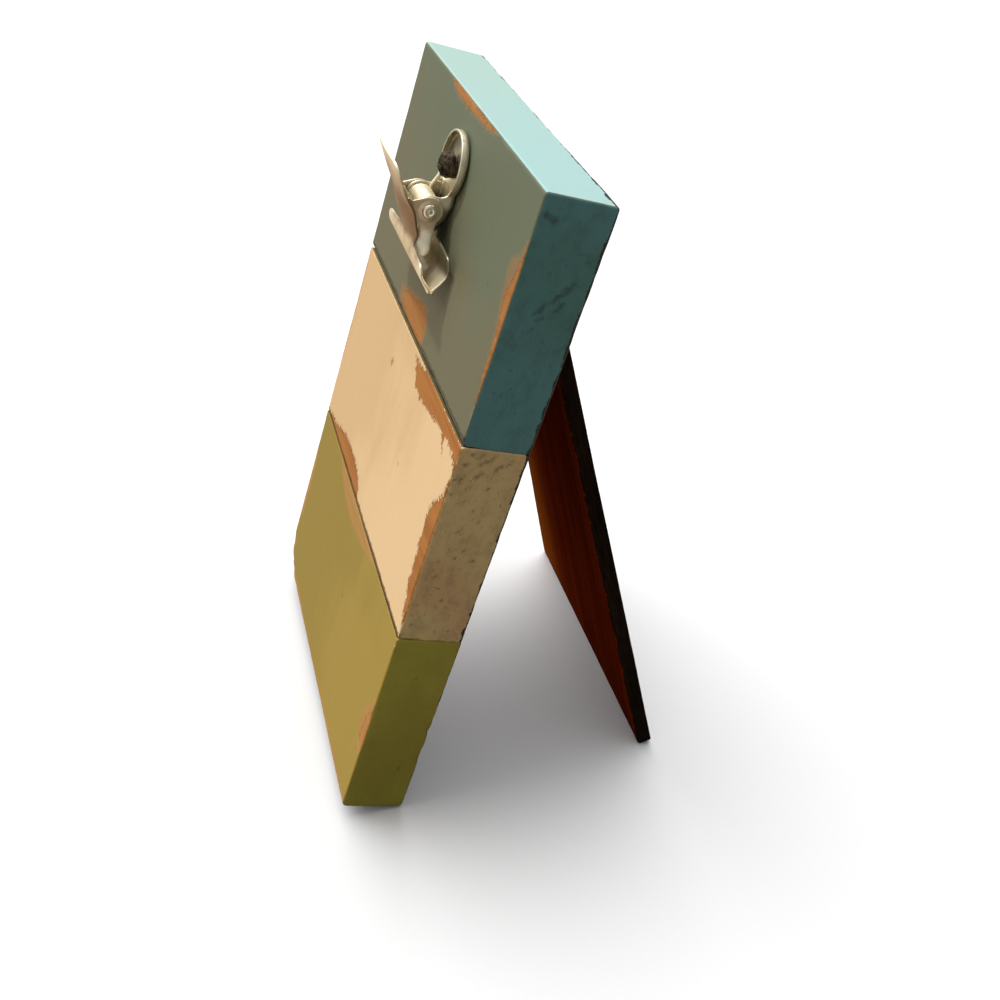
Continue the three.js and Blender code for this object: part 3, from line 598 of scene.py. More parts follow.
def thickened(patches):
    """A closed sheet with rounded edges, from the patches of its middle surface."""
    points, faces = joined(patches)
    surface = bmesh.new()
    corners = [surface.verts.new(point) for point in points]
    for face in faces:
        surface.faces.new([corners[i] for i in face])
    bmesh.ops.remove_doubles(surface, verts=surface.verts, dist=WELD)
    bmesh.ops.recalc_face_normals(surface, faces=surface.faces)
    surface.verts.index_update()
    surface.normal_update()
    middle = np.array([vertex.co for vertex in surface.verts])
    normal = np.array([vertex.normal for vertex in surface.verts])
    outward = np.zeros_like(middle)
    rim = []
    for edge in surface.edges:
        if edge.is_boundary:
            loop = edge.link_loops[0]
            start, end = loop.vert, loop.link_loop_next.vert
            out = (end.co - start.co).cross(loop.face.normal)
            outward[start.index] += out
            outward[end.index] += out
            rim.append((start.index, end.index))
    faces = [[vertex.index for vertex in face.verts] for face in surface.faces]
    surface.free()
    outward /= np.maximum(np.linalg.norm(outward, axis=1, keepdims=True), 1e-9)
    layers = [middle + SHEET * (out * outward + up * normal) for out, up in RIM_SECTION]
    count, last = len(middle), len(RIM_SECTION) - 1
    closed = faces + [[last * count + i for i in reversed(face)] for face in faces]
    for start, end in rim:
        for layer in range(0, last * count, count):
            closed.append([layer + end, layer + start, layer + count + start, layer + count + end])
    return np.concatenate(layers), closed


# Materials

def tint(red, green, blue):
    """A colour given as it is seen, 0 to 255, as the linear colour that a shader takes."""
    seen = np.array([red, green, blue]) / 255
    linear = np.where(seen <= 0.04045, seen / 12.92, ((seen + 0.055) / 1.055) ** 2.4)
    return (*linear.tolist(), 1)


class Value:
    """A number, a vector or a colour among a material's nodes, from which others are worked out."""

    def __init__(self, shader, socket):
        self.shader = shader
        self.socket = socket

    def math(self, operation, *others):
        return self.shader.node("Math", dict(enumerate((self, *others))), operation=operation)

    def __add__(self, other):
        return self.math("ADD", other)

    def __sub__(self, other):
        return self.math("SUBTRACT", other)

    def __mul__(self, other):
        return self.math("MULTIPLY", other)

    def most(self, other):
        return self.math("MAXIMUM", other)

    def spread(self, amount):
        """A noise turned to run evenly about zero, to plus or minus half the amount."""
        return self.math("MULTIPLY_ADD", amount, -0.5 * amount)

    def step(self, low, high):
        """A smooth rise from 0 at low to 1 at high, which may be the smaller of the two."""
        inputs = {"Value": self, "From Min": low, "From Max": high}
        return self.shader.node("MapRange", inputs, interpolation_type="SMOOTHSTEP")

    def scaled(self, low, high):
        return self.shader.node("MapRange", {"Value": self, "To Min": low, "To Max": high})

    def covered(self, amount, colour):
        return self.shader.mix(amount, self, colour)

    def split(self):
        return [self.shader.node("SeparateXYZ", {0: self}, axis) for axis in range(3)]

    def stretched(self, scale):
        return self.shader.node("VectorMath", {0: self, 1: scale}, operation="MULTIPLY")

    def noise(self, scale, detail, roughness=0.5, distortion=0.0):
        """Noise at a place in millimetres, with one scale or a scale for each axis."""
        place = self
        if isinstance(scale, tuple):
            place, scale = self.stretched(scale), 1.0
        inputs = {"Vector": place, "Scale": scale, "Detail": detail, "Roughness": roughness}
        return self.shader.node("TexNoise", {**inputs, "Distortion": distortion})


class Shader:
    """A material in the making: most methods add a node and give its output."""

    def __init__(self, name, specular=0.5, metallic=0.0):
        self.material = bpy.data.materials.new(name)
        self.material.use_nodes = True
        self.tree = self.material.node_tree
        self.surface = self.tree.nodes["Principled BSDF"].inputs
        self.put(self.surface["Specular IOR Level"], specular)
        self.put(self.surface["Metallic"], metallic)

    def put(self, socket, value):
        if isinstance(value, Value):
            self.tree.links.new(value.socket, socket)
        else:
            socket.default_value = value

    def node(self, kind, inputs, output=0, **settings):
        node = self.tree.nodes.new("ShaderNode" + kind)
        for name, value in settings.items():
            setattr(node, name, value)
        for name, value in inputs.items():
            self.put(node.inputs[name], value)
        return Value(self, node.outputs[output])

    def number(self, name):
        return self.node("Attribute", {}, "Fac", attribute_name=name)

    def vector(self, name):
        return self.node("Attribute", {}, "Vector", attribute_name=name)

    def object_mm(self):
        return self.node("TexCoord", {}, "Object").stretched((1 / MM,) * 3)

    def ray(self, kind):
        return self.node("LightPath", {}, f"Is {kind} Ray")

    def mix(self, amount, first, second):
        return self.node("Mix", {0: amount, 6: first, 7: second}, 2, data_type="RGBA")

    def between(self, amount, pair):
        return self.mix(amount, tint(*pair[0]), tint(*pair[1]))

    def bump(self, height, depth):
        """Relief whose heights run from 0 to 1 over a depth in millimetres."""
        self.put(self.surface["Normal"], self.node("Bump", {"Height": height, "Distance": depth * MM}))

    def finish(self, colour, roughness):
        self.put(self.surface["Base Color"], colour)
        self.put(self.surface["Roughness"], roughness)
        return self.material


def wood_grain(place, light, dark, along):
    """Wood with its fibres along one axis: a colour and the height of its grain."""
    across, broad = [0.9] * 3, [0.12] * 3
    across[along], broad[along] = 0.03, 0.008
    fibres = place.noise(tuple(across), 5, 0.6, 0.4)
    bands = place.noise(tuple(broad), 3, 0.5, 0.6)
    tone = (fibres * 0.6 + bands * 0.5).step(0.38, 0.72)
    return place.shader.between(tone, (dark, light)), fibres


# Coats of paint: tints as pairs, the drift of the front's tint along x and z, and amounts of wear and dirt
COATS = {
    "top_block": {
        "front": ((112, 107, 82), (105, 112, 89)), "drift": (0.001, 0.008),
        "side": ((74, 119, 123), (68, 110, 108)), "dirt": 0.35, "pits": 0.3,
        # A paler teal on the top face: a painted sheen
        "top": ((160, 188, 179), (156, 189, 186)), "back_lap": 1.3,
        "wood": ((176, 120, 62), (158, 104, 54)), "wear_edge": 0.5, "flake": 7, "rub": 0.6,
        "halo": (158, 132, 96), "halo_width": 0.8, "chip": (150, 140, 112),
        # A dark line of dirt and painted shade along the lower front rounding, which faces down
        "grime_and_painted_shade": (64, 58, 38), "grime_and_shade_width": 3.8, "grime_and_shade_gap": 2.5,
    },
    "middle_block": {
        "front": ((223, 186, 136), (237, 202, 154)), "drift": (0.006, -0.003),
        "side": ((186, 164, 117), (180, 149, 109)), "dirt": 0.38, "pits": 0.5,
        # The top face is the ledge in the groove above: dark with painted shade and dirt
        "top": ((112, 100, 66), (90, 80, 50)), "back_lap": 1.3, "lap": ((140, 134, 50), (128, 120, 40)),
        "wood": ((180, 118, 58), (158, 99, 45)), "wear_edge": 0.35, "flake": 10, "rub": 0.7,
        "halo": (180, 146, 108), "halo_width": 0.4, "chip": (236, 206, 160),
        # Brown dirt and painted shade along the lower front edge
        "grime_and_painted_shade": (92, 62, 20), "grime_and_shade_width": 2.5,
    },
    "bottom_block": {
        "front": ((152, 128, 50), (165, 139, 58)), "drift": (0.006, -0.003),
        "side": ((140, 134, 50), (128, 120, 40)), "dirt": 0.1, "pits": 0.15,
        # The top face is the ledge in the groove above: dark with painted shade and dirt
        "top": ((104, 76, 36), (76, 54, 26)), "back_lap": 0.4,
        "wood": ((190, 138, 78), (176, 122, 64)), "wear_edge": 0.6, "flake": 5, "rub": 1.0,
        "halo": (186, 148, 90), "halo_width": 0.9, "chip": (212, 190, 130),
        # Dirt and painted shade along the lower front edge, by the floor
        "grime_and_painted_shade": (84, 68, 22), "grime_and_shade_width": 1.0,
    },
}
BRUSH_SHADE = (40, 34, 24)
SPECK_SHADE = (60, 50, 36)
SCUFF_TONE = (34, 34, 30)
# A dark line beside torn paint: a painted shadow of the paint's edge
PAINT_EDGE_SHADOW = (98, 62, 30)
BACK_STAIN = ((38, 35, 33), (24, 22, 21))
GRIME_AND_SHADE_FADE = 0.8
STAIN_FADE = 0.35


def paint(block, coat):
    """Brushed paint over wood: a tint on each face, worn patches, rubbed places, scuffs and chips; with painted
    light: a painted sheen on the top block's top face, and painted shade on the ledges in the grooves, along the
    front's lower edges and beside torn paint.
    """
    shader = Shader(block + "_paint", specular=0.2)
    place = shader.vector("local")
    x, y, z = place.split()
    nx, ny, nz = shader.vector("facing").split()
    fine = place.noise(0.9, 5, 0.6)
    ragged = place.noise(0.28, 5, 0.65)
    cloud = place.noise(0.022, 3)
    brush = place.noise((0.55, 0.55, 0.02), 4, 0.6)
    streaks = place.noise((0.06, 0.06, 0.012), 2, 0.5, 0.3)

    # Tints of the faces, meeting raggedly on the arrises. The top tint is painted light: a paler teal for a
    # painted sheen on the top block, and painted shade with dirt on the ledges in the grooves of the lower blocks
    drift_x, drift_z = coat["drift"]
    across = x * drift_x + (z - coat["middle"]) * drift_z + cloud + streaks.spread(0.5)
    front = shader.between(across.step(0.3, 0.8), coat["front"])
    side = shader.between(cloud.step(0.38, 0.64), coat["side"])
    top = shader.between((x + cloud.spread(120)).step(-60, 60), coat["top"])
    jitter = fine.spread(0.3)
    to_side = nx.math("ABSOLUTE")
    to_top = nz.math("ABSOLUTE") - to_side * 0.6
    on_side = (to_side + jitter).step(0.66, 0.76)
    on_top = (to_top + jitter).step(0.66, 0.76)
    painted = front.covered(on_side, side).covered(on_top, top)
    painted = painted.covered(brush.scaled(0, 0.1), tint(*BRUSH_SHADE))
    painted = painted.covered(fine.step(0.7, 0.8) * 0.25, tint(*SPECK_SHADE))

    # Paint of the block below over the lower edge of the sides, and a dark band of dirt and painted shade along
    # the front's lower edge, whose rounding faces down
    from_low = z - coat["low"]
    if "lap" in coat:
        lapped = (from_low + ragged.spread(4)).step(0.9, 0.6) * on_side
        painted = painted.covered(lapped, shader.between(cloud, coat["lap"]))
    above = from_low + ragged.spread(2.4)
    width = coat["grime_and_shade_width"]
    under = above.step(width, 0.8 * width) * ny.step(-0.3, -0.6)
    if "grime_and_shade_gap" in coat:
        under = under * above.step(coat["grime_and_shade_gap"] - GRIME_AND_SHADE_FADE, coat["grime_and_shade_gap"])
    painted = painted.covered(under * 0.85, tint(*coat["grime_and_painted_shade"]))

    # Dark scuffs, and pits and dirt on the sides
    smear = place.noise((0.6, 0.42, 0.3), 6, 0.75, 0.8)
    scuffed = (shader.number("scuff") + smear.spread(5)).step(-0.7, 1.2) * 0.6
    pits = place.noise(0.45, 3, 0.6).step(0.62, 0.7) * coat["pits"]
    dirt = place.noise((0.2, 0.14, 0.1), 8, 0.72).step(0.42, 0.75) * coat["dirt"]
    painted = painted.covered(scuffed.most(pits.most(dirt) * on_side), tint(*SCUFF_TONE))

    # The stain of the back laps over the rear arrises
    lap = y + place.noise(0.16, 6, 0.7).spread(5) + on_top * x.step(0, 90)
    edge_y = 2 * HALF_THICKNESS - coat["back_lap"]
    stained = lap.step(edge_y, edge_y + STAIN_FADE).most(ny.step(0.6, 0.8))

    # Bare wood with a painted shadow along its torn edges and a halo of thin primer, places rubbed thin, and chips
    # along the edges
    wood, grain = wood_grain(place, *coat["wood"], 0)
    flake = place.noise((0.5, 0.5, 0.22), 6, 0.75, 0.5)
    wear = shader.number("wear") + (flake.spread(coat["flake"]) + fine.spread(4.5))
    bare = wear.step(0.1, coat["wear_edge"])
    halo = (wear.step(-coat["halo_width"], -0.1) - bare) * ragged.scaled(0.0, 0.8)
    torn = wear.step(0.1, 0.3) * wear.step(0.9, 0.4) * ragged.step(0.46, 0.56)
    rubbed = (shader.number("rub") + flake.spread(5)).step(-0.5, 2) * brush.scaled(0.4, 1.0)
    chip = shader.number("edge") - shader.number("flaked") * 1.8 + ragged.spread(4.2)
    chipped = chip.step(-0.35, -0.75)

    colour = painted.covered(rubbed * coat["rub"], wood)
    colour = colour.covered(halo, tint(*coat["halo"]))
    colour = colour.covered(chipped * 0.8, tint(*coat["chip"]))
    colour = colour.covered(bare, wood)
    colour = colour.covered(torn * 0.6, tint(*PAINT_EDGE_SHADOW))
    colour = colour.covered(stained, shader.between(cloud, BACK_STAIN))
    shader.bump(brush * 0.16 - bare * 0.55 - chipped * 0.4 + fine * 0.14 + grain * bare * 0.35, 0.3)
    return shader.finish(colour, fine.scaled(0.46, 0.66) + bare * 0.16)


LEG_RED = ((140, 52, 18), (100, 30, 10))
# Lighter orange towards the left of the inner face: painted light
LEG_PAINTED_LIGHT = (168, 92, 30)
LEG_PAINTED_LIGHT_X = (-20, -62)
LEG_BLACK = ((36, 26, 20), (16, 12, 10))
LEG_CHIP = (128, 96, 66)


def leg_stain():
    """Dark stained board: red-brown inner face, lighter orange towards its left as painted light, blackened back
    and edges with chipped arrises.
    """
    shader = Shader("leg_stain", specular=0.0)
    place = shader.vector("local")
    edge = shader.number("edge")
    ny = shader.vector("facing").split()[1]
    ragged = place.noise(0.22, 5, 0.65)
    fine = place.noise(0.9, 4, 0.6)
    inner, grain = wood_grain(place, *LEG_RED, 2)
    # Painted light: the inner face turns lighter orange towards its left
    inner = inner.covered(place.split()[0].step(*LEG_PAINTED_LIGHT_X) * 0.7, tint(*LEG_PAINTED_LIGHT))
    black, _ = wood_grain(place, *LEG_BLACK, 2)
    on_inner = (ragged.spread(0.5) - ny).step(0.6, 0.75)
    clear_of_edge = (edge + ragged.spread(6)).step(0.4, 1.0)
    chipped = (edge + ragged.spread(4)).step(-0.45, -0.85)
    colour = black.covered(on_inner * clear_of_edge, inner).covered(chipped * 0.75, tint(*LEG_CHIP))
    shader.bump(grain * 0.6 + fine * 0.2 - chipped * 0.6, 0.25)
    return shader.finish(colour, fine.scaled(0.38, 0.6))


DOWEL_TINTS = ((214, 174, 120), (178, 134, 84))


def dowel_wood():
    shader = Shader("dowel_wood", specular=0.3)
    colour, grain = wood_grain(shader.object_mm(), *DOWEL_TINTS, 2)
    shader.bump(grain, 0.2)
    return shader.finish(colour, grain.scaled(0.55, 0.75))


GRAZED_NICKEL = (238, 216, 192)
# Tones of the metal's marks: dirt with painted shade, a painted highlight, and brown tarnish with a painted
# reflection and painted shade
METAL_MARKS = {"grime_and_painted_shade": (90, 88, 64), "painted_highlight": (255, 247, 220), "tarnish_painted_reflection_and_shade": (116, 78, 50)}
PIT_SHADE = 0.55
WHITE = (255, 255, 255)


def aged_metal(name, bright, dull, rough, metallic=0.92, grazed=WHITE, on_board=True):
    """Plated or bare metal with clouded tarnish, small pits and hair scratches.

    A piece can carry dirt with painted shade, painted highlights, and brown tarnish with a painted reflection and
    painted shade on its points.
    """
    shader = Shader(name, metallic=metallic)
    shader.put(shader.surface["Specular Tint"], tint(*grazed))
    place = shader.vector("local") if on_board else shader.object_mm()
    cloud = place.noise(0.16, 4, 0.6, 0.3)
    speck = place.noise(2.2, 4, 0.7)
    scratch = place.noise((3.2, 0.5, 0.35), 3, 0.6)
    colour = shader.between((cloud + speck.spread(0.35)).step(0.3, 0.85), (bright, dull))
    colour = colour.covered(speck.step(0.66, 0.78), tint(*(PIT_SHADE * np.array(dull))))
    for mark, tone in METAL_MARKS.items():
        colour = colour.covered(shader.number(mark), tint(*tone))
    shader.bump(scratch * 0.6 + speck * 0.4, 0.03)
    return shader.finish(colour, cloud.scaled(rough - 0.1, rough + 0.14))


IRON_TINTS = ((24, 20, 14), (82, 70, 54))
IRON_SPECKS = (112, 96, 74)


def crusted_iron():
    shader = Shader("crusted_iron", specular=0.12)
    place = shader.vector("local")
    lumpy = place.noise(0.5, 5, 0.6, 0.5)
    fine = place.noise(2.4, 4, 0.6)
    colour = shader.between(lumpy.step(0.4, 0.62), IRON_TINTS)
    colour = colour.covered(fine.step(0.6, 0.7), tint(*IRON_SPECKS))
    shader.bump(fine * 0.4 + lumpy, 0.5)
    return shader.finish(colour, lumpy.scaled(0.5, 0.8))


PAPER_SEEN = ((0.98, 0.98, 0.98, 1), (0.96, 0.96, 0.96, 1))
PAPER_BOUNCE = (0.4, 0.34, 0.26, 1)
PAPER_MIRRORED = (0.66, 0.6, 0.5, 1)


def floor_paper():
    """Pale paper: white to the eye, pale in the metal, and with a dull bounce onto the object."""
    shader = Shader("floor_paper", specular=0.0)
    pale = shader.mix(shader.object_mm().noise(0.4, 3), *PAPER_SEEN)
    bounce = shader.mix(shader.ray("Glossy"), PAPER_BOUNCE, PAPER_MIRRORED)
    seen = shader.ray("Camera").most(shader.ray("Transmission"))
    return shader.finish(bounce.covered(seen, pale), 1.0)


REAR_NICKEL = aged_metal("rear_nickel", (234, 226, 202), (172, 160, 130), 0.38)
LEVER_NICKEL = aged_metal("lever_nickel", (248, 231, 204), (198, 178, 146), 0.36, 0.7, GRAZED_NICKEL)
RIVET_NICKEL = aged_metal("rivet_nickel", (246, 240, 224), (208, 198, 174), 0.32)
SPRING_STEEL = aged_metal("spring_steel", (240, 230, 200), (204, 192, 160), 0.58)
BRASS = aged_metal("aged_brass", (186, 150, 86), (120, 92, 50), 0.38, on_board=False)
IRON = crusted_iron()
DOWEL_WOOD = dowel_wood()
LEG_STAIN = leg_stain()


# Blocks

def stroke_depth(spots, strokes):
    """How far each spot lies inside the nearest of some strokes, negative outside them."""
    depths = []
    for start, end, half_width in strokes:
        along = np.array(end) - start
        share = np.clip((spots - start) @ along / (along @ along), 0, 1)
        depths.append(half_width - np.linalg.norm(spots - start - share[:, None] * along, axis=1))
    return np.max(depths, 0)


def patch_depth(spots, patches):
    """How far each spot lies inside the nearest of some outlines, negative outside them."""
    return np.max([depth_inside(spots, patch) for patch in patches], 0)


def set_paint_marks(piece, block, low, high):
    """What the paint reads at each point: which way it faces, its edges, wear, rubbing and scuffs."""
    points = local_points(piece, BOARD)
    x, y, z = points.T
    keep(piece, "local", points)
    facing = eased(points, low, high, np.full((1, 3), BACK_ROUNDING))[1]
    keep(piece, "facing", facing)
    to_planes = np.concatenate([points - low, high - points], 1)
    keep(piece, "edge", np.sort(to_planes, 1)[:, 1])
    on_front = points[:, (0, 2)]
    front_only = FRONT_REACH - FRONT_FALL * (1 + facing[:, 1])
    for name, patches in (("wear", WORN_PATCHES[block]), ("rub", RUBBED_PATCHES[block])):
        depth = np.minimum(patch_depth(on_front, patches), front_only)
        keep(piece, name, np.maximum(depth, FAR_FROM_WEAR))
    on_side = np.stack([np.where(x > 0, y, 2 * HALF_THICKNESS - y), z], 1)
    side_only = SIDE_REACH - SIDE_FALL * (1 - np.abs(facing[:, 0]))
    scuff = np.minimum(stroke_depth(on_side, SCUFFS[block]), side_only)
    speck = np.minimum(stroke_depth(on_front, FRONT_SPECKS[block]), front_only)
    keep(piece, "scuff", np.maximum(np.maximum(scuff, speck), FAR_FROM_SCUFFS))
    flaked = np.clip(stroke_depth(on_front, FLAKED_EDGES[block]), 0, 1)
    keep(piece, "flaked", flaked * (facing[:, 1] < FLAKED_FACING))


def block_shape(block, low, high):
    points, faces = box_surface(*map(graded, low, high))
    from_left, from_front, from_low = (points - low).T
    in_front = smooth_step(from_front, *EDGE_FADE)
    at_low = smooth_step(from_low, *EDGE_FADE)
    at_high = smooth_step(high[2] - points[:, 2], *EDGE_FADE)
    depthwise = np.full(len(points), BACK_ROUNDING)
    upright = np.full(len(points), ARRIS_ROUNDING)
    for at_end, front, end in zip((at_low, at_high), FRONT_ROUNDINGS[block], END_ROUNDINGS[block]):
        depthwise += at_end * in_front * (front - BACK_ROUNDING)
        upright += at_end * (end + in_front * (front - end) - ARRIS_ROUNDING)
    nicks = NICK_DEPTH * np.clip(lumps(points, NICK_SIZE, low[2]), 0, 1)
    behind = (1 - in_front) * (1 - at_low)
    nicks += BACK_GOUGES[block] * behind * np.clip(lumps(points, GOUGE_SIZE, low[2] + GOUGE_SEED), 0, 1)
    seamed = at_low * (block != "bottom_block") + at_high * (block != "top_block")
    nicks *= 1 - np.clip(seamed, 0, 1) * (1 - in_front)
    worn = smooth_step(patch_depth(points[:, (0, 2)], WORN_PATCHES[block]), *WORN_FADE)
    worn *= in_front * WORN_ROUNDING
    radii = np.stack([np.full(len(points), ARRIS_ROUNDING), depthwise, upright], 1) + (nicks + worn)[:, None]
    if block == "bottom_block":
        corner = smooth_step(from_left, *KNOCKED_REACH) * smooth_step(from_low, *KNOCKED_REACH)
        corner *= KNOCKED_CORNER * smooth_step(from_front, *KNOCKED_DEPTH)
        radii[:, (0, 2)] += corner[:, None]
    points, facing = eased(points, low, high, radii)
    sunk = WAVE_DEPTH * (1 + lumps(points, WAVE_SIZE, low[2] + WAVE_SEED)) + WORN_SINK * worn
    return points - facing * sunk[:, None], faces


def dowel_cutter(block):
    rods = []
    for name in (f"dowel_{level}_{side}" for level in DOWEL_LEVELS[block] for side in ("left", "right")):
        low, high = node_box(name, BOARD)
        radius = (high[0] - low[0]) / 2 + GLUE_GAP
        bottom, top = low[2] - GLUE_GAP, high[2] + GLUE_GAP
        points, faces = turned([(0, bottom), (radius, bottom), (radius, top), (0, top)], DOWEL_SIDES)
        rods.append((points + ((low[0] + high[0]) / 2, (low[1] + high[1]) / 2, 0), faces))
    return new_piece("cutter", *joined(rods), BOARD, DOWEL_WOOD)


def make_block(block):
    low, high = node_box(block, BOARD)
    below, above = SEAM_CLOSING[block]
    low, high = low - (0, 0, below), high + (0, 0, above)
    points, faces = block_shape(block, low, high)
    coat = {**COATS[block], "middle": (low[2] + high[2]) / 2, "low": low[2]}
    piece = new_piece("painted_" + block, points, faces, BOARD, paint(block, coat))
    cut(piece, dowel_cutter(block))
    set_paint_marks(piece, block, low, high)
    return piece


# Clip

def on_tab(down):
    """A place on the front plate's straight thumb tab, as (front, z)."""
    return (TAB_TIP_FRONT - down * math.sin(TAB_SLOPE), TAB_TIP_Z - down * math.cos(TAB_SLOPE))


def jaw_half(neck_x, shoulder_z, foot):
    """The right half of a plate's outline, from its lip up to the foot of its ear."""
    end_z = shoulder_z - SHOULDER_DROP
    inner = JAW_HALF_WIDTH - JAW_CORNER
    corner = swept_corner((JAW_HALF_WIDTH, end_z - JAW_CORNER), (JAW_HALF_WIDTH, end_z), (inner, end_z))
    along, up = SHOULDER_FILLET
    fillet = swept_corner((neck_x + along, shoulder_z), (neck_x, shoulder_z), (neck_x, shoulder_z + up))
    return np.concatenate([[(JAW_HALF_WIDTH, LIP_Z)], corner, fillet, [foot]])


def whole_outline(half):
    """An outline that is alike on both sides, from its right half drawn upwards."""
    left = half[::-1] * (-1, 1)
    loop = spaced(np.concatenate([half, left[left[:, 0] < -1e-6], half[:1]]), PLATE_SPACING)
    return loop[:-1]


def plate(outline, holes, front):
    """A bent sheet over a flat outline, from its front as a function of x and z."""
    points, faces = filled(outline, holes, PLATE_SPACING)
    x, z = points.T
    return np.stack([x, -front(x, z), z], 1), faces


def handle_bend():
    """The line where the back plate turns up, from the foot of the right ear to the top of the handle."""
    centre_x = BACK_BEND_X + NECK_FILLET
    reach = HANDLE_BEND_RADIUS + NECK_FILLET
    drop = math.sqrt(reach ** 2 - centre_x ** 2)
    fillet_z = HANDLE_Z - drop
    meets = math.degrees(math.atan2(drop, centre_x))
    neck = spaced([(BACK_BEND_X, BACK_EAR_FOOT_Z), (BACK_BEND_X, fillet_z)], EAR_SPACING)
    fillet = arc((centre_x, fillet_z), NECK_FILLET, 180, 180 - meets, 6)
    bowl = arc((0, HANDLE_Z), HANDLE_BEND_RADIUS, -meets, 90, 40)
    return np.concatenate([neck, fillet[1:], bowl[1:]])


def back_plate():
    front = height_over(BACK_PROFILE)
    bend = handle_bend()
    half = np.concatenate([jaw_half(BACK_NECK_X, BACK_SHOULDER_Z, (BACK_NECK_X, BACK_NECK_TOP)), bend])
    sheet = plate(whole_outline(half), [hole((0, HANDLE_Z), SCREW_HOLE)], lambda x, z: front(z))

    # The turned-up edge: a quarter bend, then a wall that is a rim round the handle and an ear at the pivot
    ahead = np.gradient(bend, axis=0)
    outward = np.stack([ahead[:, 1], -ahead[:, 0]], 1) / np.linalg.norm(ahead, axis=1, keepdims=True)
    outward[-1] = (0, 1)
    base = front(bend[:, 1])
    lines = []
    for angle in QUARTER_BEND:
        x, z = (bend + BEND * math.sin(angle) * outward).T
        lines.append(np.stack([x, -base - BEND * (1 - math.cos(angle)), z], 1))
    run = np.concatenate([[0], np.cumsum(np.linalg.norm(np.diff(bend, axis=0), axis=1))])
    pivot = (PIVOT_Z - BACK_EAR_FOOT_Z, PIVOT_FRONT)
    ear_tip = arc(pivot, EAR_RADIUS, 0, 180, 24)
    rim = [(pivot[0] + past, rise) for past, rise in RIM_END]
    top = spaced([(run[-1], RIM_FRONT), *rim, *ear_tip, *BACK_EAR_FOOT], EAR_SPACING)
    wall_outline = np.concatenate([np.stack([run, base + BEND], 1), top])
    spots, faces = filled(wall_outline, [hole(pivot, EAR_HOLE)], EAR_SPACING)
    foot_line = bend + BEND * outward
    x, z = (np.interp(spots[:, 0], run, foot_line[:, axis]) for axis in range(2))
    wall = (np.stack([x, -spots[:, 1], z], 1), faces)
    turned_up = [strip(lines), wall]
    return thickened([sheet, *turned_up, *map(other_side, turned_up)])


def rolled_ear(spots):
    """Places on a front ear: flat beside the pivot, its tongue rolled inwards below."""
    front, z = spots.T
    ear_x = FRONT_BEND_X + BEND
    angle = np.clip((front - TONGUE_NEAR) / TONGUE_WIDTH, 0, 1) * TONGUE_ROLL
    roll = smooth_step(TONGUE_ROLL_Z - z, 0, TONGUE_ROLL_LENGTH) * smooth_step(front, *TONGUE_FRONT_FADE)
    flare = TONGUE_FLARE * np.clip((TONGUE_ROLL_Z - z) / (TONGUE_ROLL_Z - TONGUE_END_Z), 0, 1)
    rolled_x = ear_x + flare - TONGUE_RADIUS * (1 - np.cos(angle))
    rolled_front = TONGUE_NEAR + TONGUE_RADIUS * np.sin(angle)
    x = ear_x + roll * (rolled_x - ear_x)
    x += BOSS_HEIGHT * smooth_step(np.hypot(front - PIVOT_FRONT, z - PIVOT_Z), *BOSS_EDGE)
    return np.stack([x, -(front + roll * (rolled_front - front)), z], 1)


def tab_arch(x, z):
    """How far the front plate stands out of its straight profile: arched across, but flat at both ends."""
    along = smooth_step(z, *TAB_ARCH_FOOT) * (1 - TAB_ARCH_LOSS * smooth_step(z, *TAB_ARCH_END))
    return TAB_ARCH * along * (1 - (x / TAB_FLAT_X) ** 2)


def front_plate():
    """The front plate with its ears, and how many of its points are the plate's own."""
    front = height_over([*map(on_tab, TAB_PLACES), *FRONT_JAW_PROFILE])
    tab_end = swept_corner((TAB_HALF_WIDTH, TAB_TIP_Z - TAB_CORNER), (TAB_HALF_WIDTH, TAB_TIP_Z),
                           (TAB_HALF_WIDTH - TAB_CORNER, TAB_TIP_Z))
    jaw = jaw_half(TAB_FOOT_HALF_WIDTH, FRONT_SHOULDER_Z, (TAB_HALF_WIDTH, TAB_FOOT_Z))
    outline = whole_outline(np.concatenate([jaw, tab_end]))
    lever = thickened([plate(outline, [], lambda x, z: front(z) + tab_arch(x, z))])

    # Ears fixed behind it and bent in towards the board, each with a rolled tongue below the pivot
    inward = np.array([-math.cos(TAB_SLOPE), math.sin(TAB_SLOPE)])
    bend_z = TAB_TIP_Z - np.linspace(EAR_FOOT_DOWN, EAR_TOP_DOWN, EAR_ROWS) * math.cos(TAB_SLOPE)
    base = np.stack([front(bend_z), bend_z], 1) + SHEET * inward
    lines = []
    for angle in QUARTER_BEND:
        at = base + BEND * (1 - math.cos(angle)) * inward
        x = np.full(len(at), FRONT_BEND_X + BEND * math.sin(angle))
        lines.append(np.stack([x, -at[:, 0], at[:, 1]], 1))
    ear_foot = base + BEND * inward
    pivot = (PIVOT_FRONT, PIVOT_Z)
    tongue_middle = ((TONGUE_NEAR + TONGUE_FAR) / 2, TONGUE_END_Z + TONGUE_WIDTH / 2)
    tongue_end = arc(tongue_middle, TONGUE_WIDTH / 2, -180, 0, 14)
    ear_tip = arc(pivot, EAR_RADIUS, 90, EAR_TIP_END, 20)
    edge = spaced([
        ear_foot[-1], *EAR_UPPER_EDGE, *ear_tip, (TONGUE_NEAR, TONGUE_ROLL_Z), *tongue_end,
        (TONGUE_FAR, TONGUE_FAR_TOP), *EAR_LOWER_EDGE, ear_foot[0],
    ], EAR_SPACING)
    spots, faces = filled(np.concatenate([ear_foot, edge[1:-1]]), [hole(pivot, EAR_HOLE)], EAR_SPACING)
    ear = thickened([strip(lines), (rolled_ear(spots), faces)])
    return joined([lever, ear, other_side(ear)]), len(lever[0])


